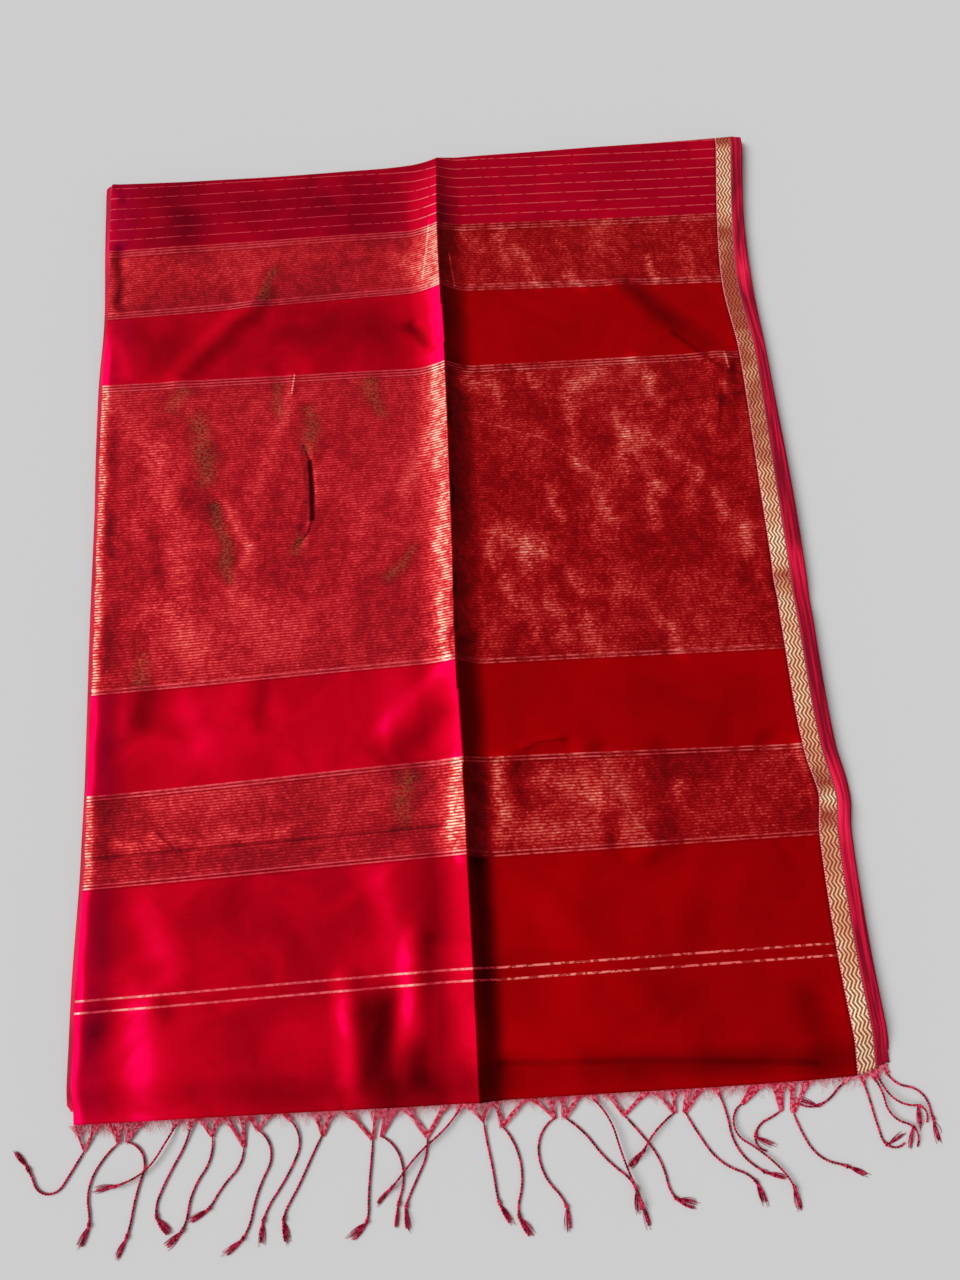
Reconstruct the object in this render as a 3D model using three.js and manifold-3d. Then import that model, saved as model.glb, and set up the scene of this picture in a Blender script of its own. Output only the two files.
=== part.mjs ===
// A handloom silk-cotton saree, folded in half along its length and then across, lying flat as a packet.
// Its end piece (pallu), with bands of gold thread, is the top stretch and ends in a knotted fringe.
// Millimetres, +Z up. The origin is the middle of the flat underside. +Y points to the top fold, +X to the
// woven border and the selvedges, and the fringe lies at -Y.
import * as THREE from 'three';
import Module from 'manifold-3d';

const wasm = await Module();
wasm.setup();

// Driving dimensions
const LOOM_WIDTH = 1150; // the saree from selvedge to selvedge, folded in half along its length
const HALF_WIDTH = LOOM_WIDTH / 4; // from the middle of the packet to its side
const STACK_TOP = 10; // the pallu's upper face where it lies flat
const HEM_TOP = 3.2; // the same at the fringed edge, which sinks to the ground
const HEM_SLOPE = 28; // over this length the pallu comes down to its edge
const CLOTH = 1.3; // wall thickness of the showing cloth
const GAP = 0.3; // between pieces
const FOLD_RADIUS = 2.6; // outside radius of the pallu's own folds at the left and at the top
const FOLD_TURNS = [30, 60, 90].map((degrees) => THREE.MathUtils.degToRad(degrees));
const BORDER_WIDTH = 14.7;
const SELVEDGE_DROP = 1.6; // the selvedge sinks by this much at the packet's right side
const CREASE_POWER = 1.6; // flanks of the centre crease: 1 is straight, more is hollow

// Lines that run from the fringe to the top fold: x of the left fold, the centre crease, the border's
// inner side and the outer selvedge
const LINES = [
  { y: -390, left: -HALF_WIDTH - 1, crease: -2.3, border: 265.7, right: 290.5 },
  { y: -306, left: -HALF_WIDTH - 1, crease: -1.1, border: 262.5, right: 287.2 },
  { y: -228, left: -HALF_WIDTH + 1, crease: -0.5, border: 263.5, right: 287.7 },
  { y: -198, left: -HALF_WIDTH + 1, crease: 0, border: 267.3, right: 291.8 },
  { y: -160, left: -HALF_WIDTH + 1, crease: 0.2, border: 261.3, right: 286.8 },
  { y: -80, left: -HALF_WIDTH + 1, crease: 0, border: 259.7, right: 286 },
  { y: 40, left: -HALF_WIDTH, crease: 3.5, border: 259.8, right: 287.4 },
  { y: 185, left: -HALF_WIDTH - 1, crease: 6.5, border: 260.3, right: 284.2 },
  { y: 252, left: -HALF_WIDTH + 1, crease: 6.5, border: 255, right: 281.9 },
  { y: 322, left: -HALF_WIDTH, crease: 7.4, border: 259.6, right: 284.3 },
  { y: 400, left: -HALF_WIDTH, crease: 10.9, border: 269, right: 294 },
];

// Lines that run across: y of the fringed edge and of the top fold
const ENDS = [
  { x: -HALF_WIDTH, hem: -392, top: 394 },
  { x: -150, hem: -394, top: 393 },
  { x: -45, hem: -396, top: 395.5 },
  { x: 0, hem: -396, top: 399 },
  { x: 25, hem: -396, top: 403 },
  { x: 262, hem: -397, top: 409 },
  { x: HALF_WIDTH, hem: -390, top: 410 },
];

// The centre crease stands up in a sharp line: its height and the width of its two flanks
const CREASE = [
  { y: -396, height: 5.5, leftFlank: 24, rightFlank: 18 },
  { y: -200, height: 8, leftFlank: 26, rightFlank: 21 },
  { y: 0, height: 9.5, leftFlank: 28, rightFlank: 23 },
  { y: 200, height: 10.5, leftFlank: 28, rightFlank: 24 },
  { y: 330, height: 9.5, leftFlank: 28, rightFlank: 23 },
  { y: 400, height: 4, leftFlank: 24, rightFlank: 18 },
];

// Soft folds, each a straight ridge (or trough, where the height is negative) from one end to the other
const FOLDS = [
  { x0: -41, y0: -285, x1: -51, y1: -390, height: 1.6, halfWidth: 15 },
  { x0: -56, y0: -325, x1: -78, y1: -390, height: -0.9, halfWidth: 13 },
  { x0: -92, y0: -310, x1: -91, y1: -390, height: 1.3, halfWidth: 15 },
  { x0: -221, y0: 190, x1: -152, y1: 265, height: 1.3, halfWidth: 18 },
  { x0: 165, y0: 258, x1: 243, y1: 176, height: 1.8, halfWidth: 18 },
  { x0: 243, y0: 176, x1: 238, y1: 110, height: 1.2, halfWidth: 16 },
  { x0: 95, y0: -155, x1: 130, y1: -232, height: 1.3, halfWidth: 16 },
  { x0: 245, y0: -18, x1: 290, y1: -44, height: -1.8, halfWidth: 18 },
  { x0: 240, y0: -160, x1: 290, y1: -196, height: -2, halfWidth: 18 },
  { x0: 20, y0: -372, x1: 238, y1: -384, height: -0.8, halfWidth: 14 },
];

// Hidden stretches: ring by ring down their side, the share of the height left and of the reach used.
// Each pair of a peak and a groove is one folded edge.
const EDGE_RINGS = [
  { height: 1, reach: 0 },
  { height: 0.985, reach: 0.7 },
  { height: 0.88, reach: 0.88 },
  { height: 0.76, reach: 0.66 },
  { height: 0.64, reach: 1 },
  { height: 0.51, reach: 0.72 },
  { height: 0.39, reach: 0.92 },
  { height: 0.26, reach: 0.68 },
  { height: 0.13, reach: 0.96 },
  { height: 0, reach: 0.82 },
];
const EDGE_REACH = { left: 7, right: 2.6, top: 3.4, hem: 0.6 };
const EDGE_UNEVENNESS = 0.1; // of the reach, along the sides
const EDGE_WAVE = 70; // length in which that unevenness goes by one radian

// Fringe
const STRIP_WIDTH = 3; // the woven-in knot row that holds the strands
const STRIP_THICKNESS = 1.6;
const STRAND_RADIUS = 0.8;
const LEG_RADIUS = 0.6; // of its legs, and of its root in the strip
// Where the two legs lie in the strand that they become, from its middle
const LEG_PLACES = [new THREE.Vector3(-0.15, 0.05, 0.1), new THREE.Vector3(0.2, -0.1, -0.05)];
const FLOOR_GAP = 0.4; // under the strands
const SETTLE = 20; // distance from the hem in which they come down to the ground
const STRAND_STEP = 11;
const STRAND_SIDES = 4;
const LEG_SIDES = 3;
const CARRY_SHARE = 0.25; // of a strand's length, in which it rises to cross others, and again sinks
const SAME_PLACE = 1e-6;
// From the end of a strand: the knot and the loose tassel behind it
const TASSEL = [
  { back: 18, radius: 0.8 },
  { back: 15.5, radius: 1.6 },
  { back: 13, radius: 0.9 },
  { back: 7, radius: 1.5 },
  { back: 2.5, radius: 1.7 },
  { back: 0, radius: 0.6 },
];

// A row for each strand: x of the two legs that gather it (equal where it has one), the place where they
// meet (drop below the hem; 0 where the strand starts at the hem itself), the way it heads there, at one
// and two thirds of its length and at its end (degrees from -Y towards +X), its length, and how high it is
// carried over the strands that it crosses.
const STRANDS = [
  { legs: [-286, -271], x: -280, drop: 17, heads: [-33, -34, -158, -135], length: 74, lift: 0 },
  { legs: [-262, -256], x: -256, drop: 13, heads: [-54, -31, 13, -32], length: 71, lift: 0 },
  { legs: [-249, -240], x: -250, drop: 13, heads: [78, -21, -9, -30], length: 80, lift: 0 },
  { legs: [-215, -215], x: -215, drop: 0, heads: [-32, -35, -70, -83], length: 72, lift: 2.8 },
  { legs: [-205, -205], x: -205, drop: 0, heads: [-13, -33, -24, 54], length: 78, lift: 0 },
  { legs: [-199, -186], x: -191, drop: 12, heads: [8, -39, -7, -60], length: 76, lift: 0 },
  { legs: [-181, -169], x: -169, drop: 20, heads: [0, -48, -32, -70], length: 59, lift: 0 },
  { legs: [-164, -151], x: -159, drop: 10, heads: [59, -31, -12, -60], length: 88, lift: 0 },
  { legs: [-140, -140], x: -140, drop: 0, heads: [60, -26, -39, -1], length: 89, lift: 0 },
  { legs: [-119, -107], x: -114, drop: 15, heads: [-31, -27, -34, 18], length: 72, lift: 0 },
  { legs: [-96, -76], x: -79, drop: 20, heads: [-6, -8, -2, -60], length: 65, lift: 0 },
  { legs: [-69, -62], x: -73, drop: 18, heads: [64, 16, -20, -8], length: 63, lift: 0 },
  { legs: [-55, -27], x: -41, drop: 20, heads: [3, -30, -28, 12], length: 60, lift: 0 },
  { legs: [-16, -16], x: -16, drop: 0, heads: [-36, -56, -42, -48], length: 84, lift: 2.8 },
  { legs: [-10, 3], x: -1, drop: 12, heads: [5, 10, 5, 34], length: 67, lift: 0 },
  { legs: [9, 29], x: 12, drop: 17, heads: [42, 10, -20, 44], length: 74, lift: 0 },
  { legs: [35, 47], x: 49, drop: 14, heads: [-64, 1, 44, -8], length: 79, lift: 0 },
  { legs: [56, 68], x: 56, drop: 14, heads: [57, 35, 52, -7], length: 80, lift: 0 },
  { legs: [76, 76], x: 76, drop: 0, heads: [48, 12, 21, 11], length: 90, lift: 4.2 },
  { legs: [88, 115], x: 98, drop: 15, heads: [42, 36, 7, 79], length: 77, lift: 0 },
  { legs: [122, 134], x: 134, drop: 15, heads: [-65, -49, -34, -54], length: 48, lift: 2.6 },
  { legs: [144, 154], x: 141, drop: 15, heads: [26, 32, 70, 6], length: 80, lift: 0 },
  { legs: [190, 198], x: 182, drop: 12, heads: [-68, 58, 42, 4], length: 87, lift: 2.8 },
  { legs: [165, 165], x: 165, drop: 0, heads: [24, 4, 47, 76], length: 77, lift: 0 },
  { legs: [205, 211], x: 209, drop: 18, heads: [-58, -70, -16, 82], length: 40, lift: 0 },
  { legs: [219, 230], x: 217, drop: 20, heads: [14, 27, 75, 61], length: 66, lift: 0 },
  { legs: [260, 260], x: 260, drop: 0, heads: [-70, -43, -73, -120], length: 43, lift: 0 },
  { legs: [268, 268], x: 268, drop: 0, heads: [20, 8, 11, 134], length: 60, lift: 0 },
  { legs: [275, 275], x: 275, drop: 0, heads: [37, 4, 74, -31], length: 60, lift: 2.8 },
  { legs: [280, 280], x: 280, drop: 0, heads: [-4, 42, 88, -19], length: 53, lift: 5.6 },
  { legs: [286, 286], x: 286, drop: 0, heads: [10, 80, 6, 7], length: 64, lift: 0 },
];

// A soft step from 0 to 1, and how steep it is
const smooth = (share) => {
  const t = THREE.MathUtils.clamp(share, 0, 1);
  return t * t * (3 - 2 * t);
};
const smoothSlope = (share) => {
  const t = THREE.MathUtils.clamp(share, 0, 1);
  return 6 * t * (1 - t);
};

// A smooth curve through a table's rows: `column` at the place `at` of the column `input`
function along(table, input, column, at) {
  const end = table.length - 1;
  let low = 0;
  while (low < end - 1 && at > table[low + 1][input]) {
    low += 1;
  }
  const slope = (row) => {
    const before = table[Math.max(row - 1, 0)];
    const after = table[Math.min(row + 1, end)];
    return (after[column] - before[column]) / (after[input] - before[input]);
  };
  const span = table[low + 1][input] - table[low][input];
  const t = THREE.MathUtils.clamp((at - table[low][input]) / span, 0, 1);
  const rise = smooth(t);
  const bend = t * (1 - t) * span * ((1 - t) * slope(low) - t * slope(low + 1));
  return THREE.MathUtils.lerp(table[low][column], table[low + 1][column], rise) + bend;
}

const line = (name) => (y) => along(LINES, 'y', name, y);
const leftFold = line('left');
const crease = line('crease');
const borderIn = line('border');
const borderOut = (y) => borderIn(y) + BORDER_WIDTH;
const selvedge = line('right');
const hem = (x) => along(ENDS, 'x', 'hem', THREE.MathUtils.clamp(x, -HALF_WIDTH, HALF_WIDTH));
const topFold = (x) => along(ENDS, 'x', 'top', x);

// The centre crease at a point: its height there and how steep its flank is
function creaseAt(x, y) {
  const side = x < crease(y) ? 'leftFlank' : 'rightFlank';
  const flank = along(CREASE, 'y', side, y);
  const height = along(CREASE, 'y', 'height', y);
  const down = Math.max(1 - Math.abs(x - crease(y)) / flank, 0);
  const slope = (height * CREASE_POWER * down ** (CREASE_POWER - 1)) / flank;
  return { height: height * down ** CREASE_POWER, slope };
}

function foldsAt(x, y) {
  return FOLDS.reduce((sum, fold) => {
    const run = { x: fold.x1 - fold.x0, y: fold.y1 - fold.y0 };
    const reach = ((x - fold.x0) * run.x + (y - fold.y0) * run.y) / (run.x ** 2 + run.y ** 2);
    const t = THREE.MathUtils.clamp(reach, 0, 1);
    const away = Math.hypot(x - fold.x0 - t * run.x, y - fold.y0 - t * run.y);
    return sum + fold.height * smooth(1 - away / fold.halfWidth);
  }, 0);
}

// The upper face of the pallu
function clothTop(x, y) {
  const fromHem = (y - hem(x)) / HEM_SLOPE;
  const flat = THREE.MathUtils.lerp(HEM_TOP, STACK_TOP, smooth(fromHem));
  const toSelvedge = (x - borderOut(y)) / (selvedge(y) - borderOut(y));
  return flat + creaseAt(x, y).height + foldsAt(x, y) * smooth(fromHem) - SELVEDGE_DROP * smooth(toSelvedge);
}

// A depth measured square to the cloth, as a vertical one
function plumb(depth, x, y) {
  const hemSlope = ((STACK_TOP - HEM_TOP) / HEM_SLOPE) * smoothSlope((y - hem(x)) / HEM_SLOPE);
  return depth * Math.hypot(1, creaseAt(x, y).slope, hemSlope);
}

// Columns and rows of the cloth's grid: where each lies, and how far the cloth has turned down there
const columnsBetween = (start, end, shares) =>
  shares.map((share) => ({ x: (y) => THREE.MathUtils.lerp(start(y), end(y), share), turn: 0 }));
const shifted = (path, distance) => (at) => path(at) + distance;
const shares = (count) => Array.from({ length: count }, (_, step) => (step + 1) / count);

const FLANK = 28;
const FLANK_STEPS = [20, 13, 7, 3]; // columns beside the centre crease
const LEFT_COLUMNS = 8;
const RIGHT_COLUMNS = 7;
const NARROW_COLUMNS = 2; // of the border, and of the selvedge
const ROWS = 22;
const HEM_ROWS = [0, 9, 18, HEM_SLOPE];

const besideCrease = (distance) => ({ x: shifted(crease, distance), turn: 0 });
const foldColumns = FOLD_TURNS.map((turn) => ({ x: shifted(leftFold, FOLD_RADIUS), turn })).reverse();
const leftColumns = [
  ...foldColumns,
  ...columnsBetween(shifted(leftFold, FOLD_RADIUS), shifted(crease, -FLANK), [0, ...shares(LEFT_COLUMNS)]),
  ...FLANK_STEPS.map((step) => besideCrease(-step)),
];
const flatRight = (start) => [
  ...[...FLANK_STEPS].reverse().map(besideCrease),
  ...columnsBetween(shifted(crease, FLANK), start, [0, ...shares(RIGHT_COLUMNS)]),
];
const rowsBetween = shares(ROWS).map((share) => ({
  y: (x) => THREE.MathUtils.lerp(hem(x) + HEM_SLOPE, topFold(x) - FOLD_RADIUS, share),
  turn: 0,
}));
const rows = [
  ...HEM_ROWS.map((distance) => ({ y: shifted(hem, distance), turn: 0 })),
  ...rowsBetween,
  ...FOLD_TURNS.map((turn) => ({ y: shifted(topFold, -FOLD_RADIUS), turn })),
];

// The point where a column and a row cross, `depth` under the cloth's upper face
function crossing(column, row, depth) {
  const y = row.y(column.x(row.y(column.x(0))));
  const x = column.x(y);
  const turned = Math.hypot(column.turn, row.turn);
  if (turned === 0) {
    return new THREE.Vector3(x, y, clothTop(x, y) - plumb(depth, x, y));
  }
  const turn = Math.min(turned, Math.PI / 2);
  const radius = FOLD_RADIUS - depth;
  const out = (radius * Math.sin(turn)) / turned;
  const z = clothTop(x, y) - FOLD_RADIUS + radius * Math.cos(turn);
  return new THREE.Vector3(x - out * column.turn, y + out * row.turn, z);
}

const grid = (columns, gridRows, depth) =>
  gridRows.map((row) => columns.map((column) => crossing(column, row, depth)));

// The rim of a grid, anticlockwise seen from above
function rim(points) {
  const last = points.length - 1;
  const width = points[0].length - 1;
  return [
    ...points[0].slice(0, width),
    ...points.slice(0, last).map((row) => row[width]),
    ...points[last].slice(1).reverse(),
    ...points.slice(1).map((row) => row[0]).reverse(),
  ];
}

// Triangles are gathered as corners; toGeometry makes them a mesh
const facesOfGrid = (points) =>
  points.slice(1).flatMap((row, j) =>
    row.slice(1).flatMap((corner, i) => {
      const [a, b, d] = [points[j][i], points[j][i + 1], row[i]];
      return [a, b, corner, a, corner, d];
    }));
const facesBetween = (upper, lower) =>
  upper.flatMap((corner, i) => {
    const next = (i + 1) % upper.length;
    return [corner, lower[i], lower[next], corner, lower[next], upper[next]];
  });
const turnedOver = (corners) =>
  corners.flatMap((corner, i) => (i % 3 === 0 ? [corner, corners[i + 2], corners[i + 1]] : []));

function toGeometry(corners) {
  const geometry = new THREE.BufferGeometry().setFromPoints(corners);
  geometry.computeVertexNormals();
  return geometry;
}

const toManifold = (corners) => {
  const triangles = corners.map((_, i) => i);
  const mesh = new wasm.Mesh({
    numProp: 3,
    vertProperties: new Float32Array(corners.flatMap((corner) => corner.toArray())),
    triVerts: new Uint32Array(triangles),
  });
  mesh.merge();
  return new wasm.Manifold(mesh);
};

const fromManifold = (solid) => {
  const mesh = solid.getMesh();
  const geometry = new THREE.BufferGeometry();
  geometry.setAttribute('position', new THREE.BufferAttribute(new Float32Array(mesh.vertProperties), 3));
  geometry.setIndex(new THREE.BufferAttribute(new Uint32Array(mesh.triVerts), 1));
  geometry.computeVertexNormals();
  return geometry;
};

const clothMaterial = (color, roughness, metalness = 0) =>
  new THREE.MeshStandardMaterial({ color, roughness, metalness });

function named(name, geometry, material) {
  const mesh = new THREE.Mesh(geometry, material);
  mesh.name = name;
  return mesh;
}

// A stretch of the showing cloth: an even wall over these columns
function clothWall(columns) {
  const outer = grid(columns, rows, 0);
  const inner = grid(columns, rows, CLOTH);
  return toGeometry([
    ...facesOfGrid(outer),
    ...turnedOver(facesOfGrid(inner)),
    ...facesBetween(rim(outer), rim(inner)),
  ]);
}

// The stretches folded under the pallu, as one solid that fills it and rests flat on the ground
function hiddenStretches() {
  const columns = [
    ...leftColumns,
    besideCrease(0),
    ...flatRight(borderIn),
    ...columnsBetween(borderIn, borderOut, shares(NARROW_COLUMNS)),
    ...columnsBetween(borderOut, selvedge, shares(NARROW_COLUMNS)),
  ];
  const top = grid(columns, rows.slice(1), CLOTH + GAP);
  const edge = rim(top);
  const width = columns.length - 1;
  const depth = top.length - 1;
  const outward = edge.map((_, i) => {
    const onHem = i <= width;
    const onRight = i >= width && i <= width + depth;
    const onTop = i >= width + depth && i <= 2 * width + depth;
    const onLeft = i >= 2 * width + depth || i === 0;
    const x = (onRight ? EDGE_REACH.right : 0) - (onLeft ? EDGE_REACH.left : 0);
    const y = (onTop ? EDGE_REACH.top : 0) - (onHem ? EDGE_REACH.hem : 0);
    const corner = x !== 0 && y !== 0 ? Math.SQRT1_2 : 1;
    return { x: x * corner, y: y * corner };
  });
  const rings = EDGE_RINGS.map(({ height, reach }, ring) =>
    edge.map((corner, i) => {
      const waver = 1 + EDGE_UNEVENNESS * Math.sin((corner.x + corner.y) / EDGE_WAVE + 2 * ring);
      const out = reach * waver;
      const z = (corner.z - GAP) * height;
      return new THREE.Vector3(corner.x + outward[i].x * out, corner.y + outward[i].y * out, z);
    }));
  const ground = rings[rings.length - 1];
  const outline = ground.map((corner) => new THREE.Vector2(corner.x, corner.y));
  const underside = THREE.ShapeUtils.triangulateShape(outline, []).flatMap((triangle) => {
    const [a, b, c] = triangle.map((index) => ground[index]);
    const anticlockwise = (b.x - a.x) * (c.y - a.y) - (b.y - a.y) * (c.x - a.x) > 0;
    return anticlockwise ? [a, c, b] : [a, b, c];
  });
  return toGeometry([
    ...facesOfGrid(top),
    ...facesBetween(edge, rings[0]),
    ...rings.slice(1).flatMap((ring, i) => facesBetween(rings[i], ring)),
    ...underside,
  ]);
}

// A bar swept along a level path, its section an even polygon or the given corners
function sweep(path, sections) {
  const rings = path.map((centre, i) => {
    const way = path[Math.min(i + 1, path.length - 1)].clone().sub(path[Math.max(i - 1, 0)]);
    const across = new THREE.Vector3(way.y, -way.x, 0).normalize();
    return sections[i].map(([side, up]) => centre.clone().addScaledVector(across, side)
      .add(new THREE.Vector3(0, 0, up)));
  });
  const cap = (ring) => ring.slice(2).flatMap((corner, i) => [ring[0], ring[i + 1], corner]);
  return [
    ...cap(rings[0]),
    ...rings.slice(1).flatMap((ring, i) => facesBetween(rings[i], ring)),
    ...turnedOver(cap(rings[rings.length - 1])),
  ];
}

// A round section of few sides, one corner straight down
const roundSection = (radius, sides) =>
  Array.from({ length: sides }, (_, i) => {
    const angle = (2 * Math.PI * i) / sides;
    return [radius * Math.sin(angle), -radius * Math.cos(angle)];
  });

const stripHeight = (x) => clothTop(x, hem(x)) - CLOTH / 2;

// The height of a strand's middle: held at the hem, it settles on the ground
function strandHeight(x, y, radius) {
  const settled = smooth((hem(x) - y) / SETTLE);
  return THREE.MathUtils.lerp(stripHeight(x), FLOOR_GAP + radius, settled);
}

const stripMiddle = (x) => hem(x) - GAP - STRIP_WIDTH / 2;

function hemStrip() {
  const stations = [
    ...leftColumns.slice(FOLD_TURNS.length),
    besideCrease(0),
    ...flatRight(borderIn),
    ...columnsBetween(borderIn, selvedge, shares(2 * NARROW_COLUMNS - 1)),
  ].map((column) => column.x(stripMiddle(0)));
  const path = stations.map((x) => new THREE.Vector3(x, stripMiddle(x), stripHeight(x)));
  const [w, t] = [STRIP_WIDTH / 2, STRIP_THICKNESS / 2];
  return sweep(path, path.map(() => [[w, -t], [w, t], [-w, t], [-w, -t]]));
}

function strandCurve({ x, drop, heads, length, lift }) {
  const stops = [];
  const body = length - TASSEL[0].back;
  const count = Math.round(body / STRAND_STEP);
  for (let i = 0; i < count; i += 1) {
    stops.push({ at: (body * i) / count, radius: i === 0 && drop === 0 ? LEG_RADIUS : STRAND_RADIUS });
  }
  TASSEL.forEach(({ back, radius }) => stops.push({ at: length - back, radius }));
  const place = new THREE.Vector2(x, drop === 0 ? stripMiddle(x) : hem(x) - drop);
  let walked = 0;
  return stops.map(({ at, radius }) => {
    while (walked < at - SAME_PLACE) {
      const step = Math.min(1, at - walked);
      const share = ((walked + step / 2) / length) * (heads.length - 1);
      const low = Math.min(Math.floor(share), heads.length - 2);
      const degrees = THREE.MathUtils.lerp(heads[low], heads[low + 1], share - low);
      const heading = THREE.MathUtils.degToRad(degrees);
      place.x += step * Math.sin(heading);
      place.y -= step * Math.cos(heading);
      walked += step;
    }
    const carried = lift * smooth(Math.min(at, length - at) / (CARRY_SHARE * length));
    const z = strandHeight(place.x, place.y, radius) + carried;
    return { centre: new THREE.Vector3(place.x, place.y, z), radius };
  });
}

function strand(row) {
  const curve = strandCurve(row);
  const [start] = curve;
  const centres = curve.map(({ centre }) => centre);
  const body = sweep(centres, curve.map(({ radius }) => roundSection(radius, STRAND_SIDES)));
  const legs = row.drop === 0 ? [] : row.legs.map((x, leg) => {
    const root = new THREE.Vector3(x, stripMiddle(x), stripHeight(x));
    const past = start.centre.clone().sub(root).setLength(LEG_RADIUS);
    const half = root.clone().lerp(start.centre, 0.5);
    half.z = strandHeight(half.x, half.y, LEG_RADIUS);
    const end = start.centre.clone().add(past).add(LEG_PLACES[leg]);
    const path = [root, half, end];
    return sweep(path, path.map(() => roundSection(LEG_RADIUS, LEG_SIDES)));
  });
  return [body, ...legs];
}

function fringe() {
  const pieces = [hemStrip(), ...STRANDS.flatMap(strand)].map(toManifold);
  return fromManifold(pieces.reduce((whole, piece) => whole.add(piece)));
}

const saree = new THREE.Group();
saree.name = 'saree';
const halfGap = GAP / 2;
const narrow = [0, ...shares(NARROW_COLUMNS)];
const palluLeft = clothWall([...leftColumns, besideCrease(-halfGap)]);
const palluRight = clothWall([besideCrease(halfGap), ...flatRight(shifted(borderIn, -halfGap))]);
const zariBorder = clothWall(
  columnsBetween(shifted(borderIn, halfGap), shifted(borderOut, -halfGap), narrow),
);
const plainEdge = clothWall(columnsBetween(shifted(borderOut, halfGap), selvedge, narrow));
saree.add(
  named('pallu_left', palluLeft, clothMaterial('#c4103a', 0.45, 0.1)),
  named('pallu_right', palluRight, clothMaterial('#96101c', 0.5, 0.1)),
  named('zari_border', zariBorder, clothMaterial('#c08a4a', 0.4, 0.4)),
  named('selvedge', plainEdge, clothMaterial('#a80836', 0.5)),
  named('under_layers', hiddenStretches(), clothMaterial('#9c0a26', 0.55)),
  named('fringe', fringe(), clothMaterial('#8a0c2c', 0.6)),
);

export default saree;
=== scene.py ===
# %% [markdown]
# A handloom silk-cotton saree, folded into a flat packet. Its end piece (the pallu) lies on top, with bands
# of gold thread (zari), a woven border along the right side and a knotted fringe at the bottom. The lesson
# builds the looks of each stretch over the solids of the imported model, which stay as they are and are only
# covered where they show. All shape tables are in millimetres, as a weaver would measure them, and become
# metres when a mesh is made.

import math

import bpy
import numpy as np
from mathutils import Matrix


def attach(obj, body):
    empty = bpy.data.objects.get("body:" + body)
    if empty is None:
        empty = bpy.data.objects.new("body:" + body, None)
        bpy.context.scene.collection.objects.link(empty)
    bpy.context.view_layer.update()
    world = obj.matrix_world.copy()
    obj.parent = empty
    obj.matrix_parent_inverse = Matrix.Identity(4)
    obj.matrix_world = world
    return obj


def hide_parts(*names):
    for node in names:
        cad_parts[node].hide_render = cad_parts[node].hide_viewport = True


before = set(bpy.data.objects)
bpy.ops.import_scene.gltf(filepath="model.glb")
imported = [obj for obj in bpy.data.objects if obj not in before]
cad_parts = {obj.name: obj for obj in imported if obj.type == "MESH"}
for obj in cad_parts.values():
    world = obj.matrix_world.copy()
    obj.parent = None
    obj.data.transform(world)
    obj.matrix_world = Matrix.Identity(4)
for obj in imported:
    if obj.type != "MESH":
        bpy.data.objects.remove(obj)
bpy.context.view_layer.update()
MM = 0.001
print("solids:", sorted(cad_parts))

# %% [markdown]
# The camera stands almost straight above the packet, over its lower half, and leans a little. Its place and
# its angles give the packet its tapering outline.

# %% Camera
CAMERA_PLACE = (0.00585, -0.2692, 0.749)
CAMERA_TILT = (15.80, 0.0, -3.825)
CAMERA_LENS = 27.28

camera = bpy.data.objects.new("camera", bpy.data.cameras.new("camera"))
camera.data.lens = CAMERA_LENS
camera.data.sensor_width = 36
camera.location = CAMERA_PLACE
camera.rotation_euler = [math.radians(angle) for angle in CAMERA_TILT]
bpy.context.collection.objects.link(camera)
bpy.context.scene.camera = camera

# %% [markdown]
# Silk shows its folds only in light that comes from one side. It stands to the left, like a window, and a
# pale surround fills the shadows. The lamp is a sun with a wide angle, because that lights the whole floor
# evenly.

# %% Light and floor
KEY_STRENGTH = 2.75
KEY_HEIGHT = 48  # degrees above the floor
KEY_FROM = 12  # degrees behind the packet's left side
KEY_SOFTNESS = 40
SURROUND = 0.37
FLOOR_SHADE = 0.60

key = bpy.data.objects.new("window_light", bpy.data.lights.new("window_light", "SUN"))
key.data.energy = KEY_STRENGTH
key.data.angle = math.radians(KEY_SOFTNESS)
key.rotation_euler = (0, math.radians(KEY_HEIGHT - 90), math.radians(-KEY_FROM))
bpy.context.collection.objects.link(key)

world = bpy.data.worlds.new("surround")
world.use_nodes = True
world.node_tree.nodes["Background"].inputs["Color"].default_value = (1.0, 1.0, 1.0, 1)
world.node_tree.nodes["Background"].inputs["Strength"].default_value = SURROUND
bpy.context.scene.world = world
bpy.context.scene.view_settings.view_transform = "Standard"

FLOOR_REACH = 6.0
floor_mesh = bpy.data.meshes.new("floor")
corners = [(-1, -1), (1, -1), (1, 1), (-1, 1)]
floor_mesh.from_pydata([(x * FLOOR_REACH, y * FLOOR_REACH, 0) for x, y in corners], [], [(0, 1, 2, 3)])
floor = bpy.data.objects.new("floor", floor_mesh)
bpy.context.collection.objects.link(floor)
floor_paint = bpy.data.materials.new("floor_paint")
floor_paint.use_nodes = True
floor_shader = floor_paint.node_tree.nodes["Principled BSDF"]
floor_shader.inputs["Base Color"].default_value = (FLOOR_SHADE, FLOOR_SHADE, FLOOR_SHADE, 1)
floor_shader.inputs["Roughness"].default_value = 0.95
floor_shader.inputs["Specular IOR Level"].default_value = 0.0
floor_mesh.materials.append(floor_paint)
print("key light", KEY_HEIGHT, "degrees high, floor", FLOOR_SHADE)

# %% [markdown]
# The packet's outline comes from a few lines: the left fold, the pressed centre crease, the border and the
# outer selvedge run from the fringe to the top fold, and none of them is quite straight, because cloth that
# was folded by hand never lies so. Each table has a row for a place and a column for a line.

# %% Tables of the packet's lines


def table(names, *rows):
    """A table with named columns, as arrays."""
    return {name: np.array(column, float) for name, column in zip(names.split(), zip(*rows))}


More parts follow.
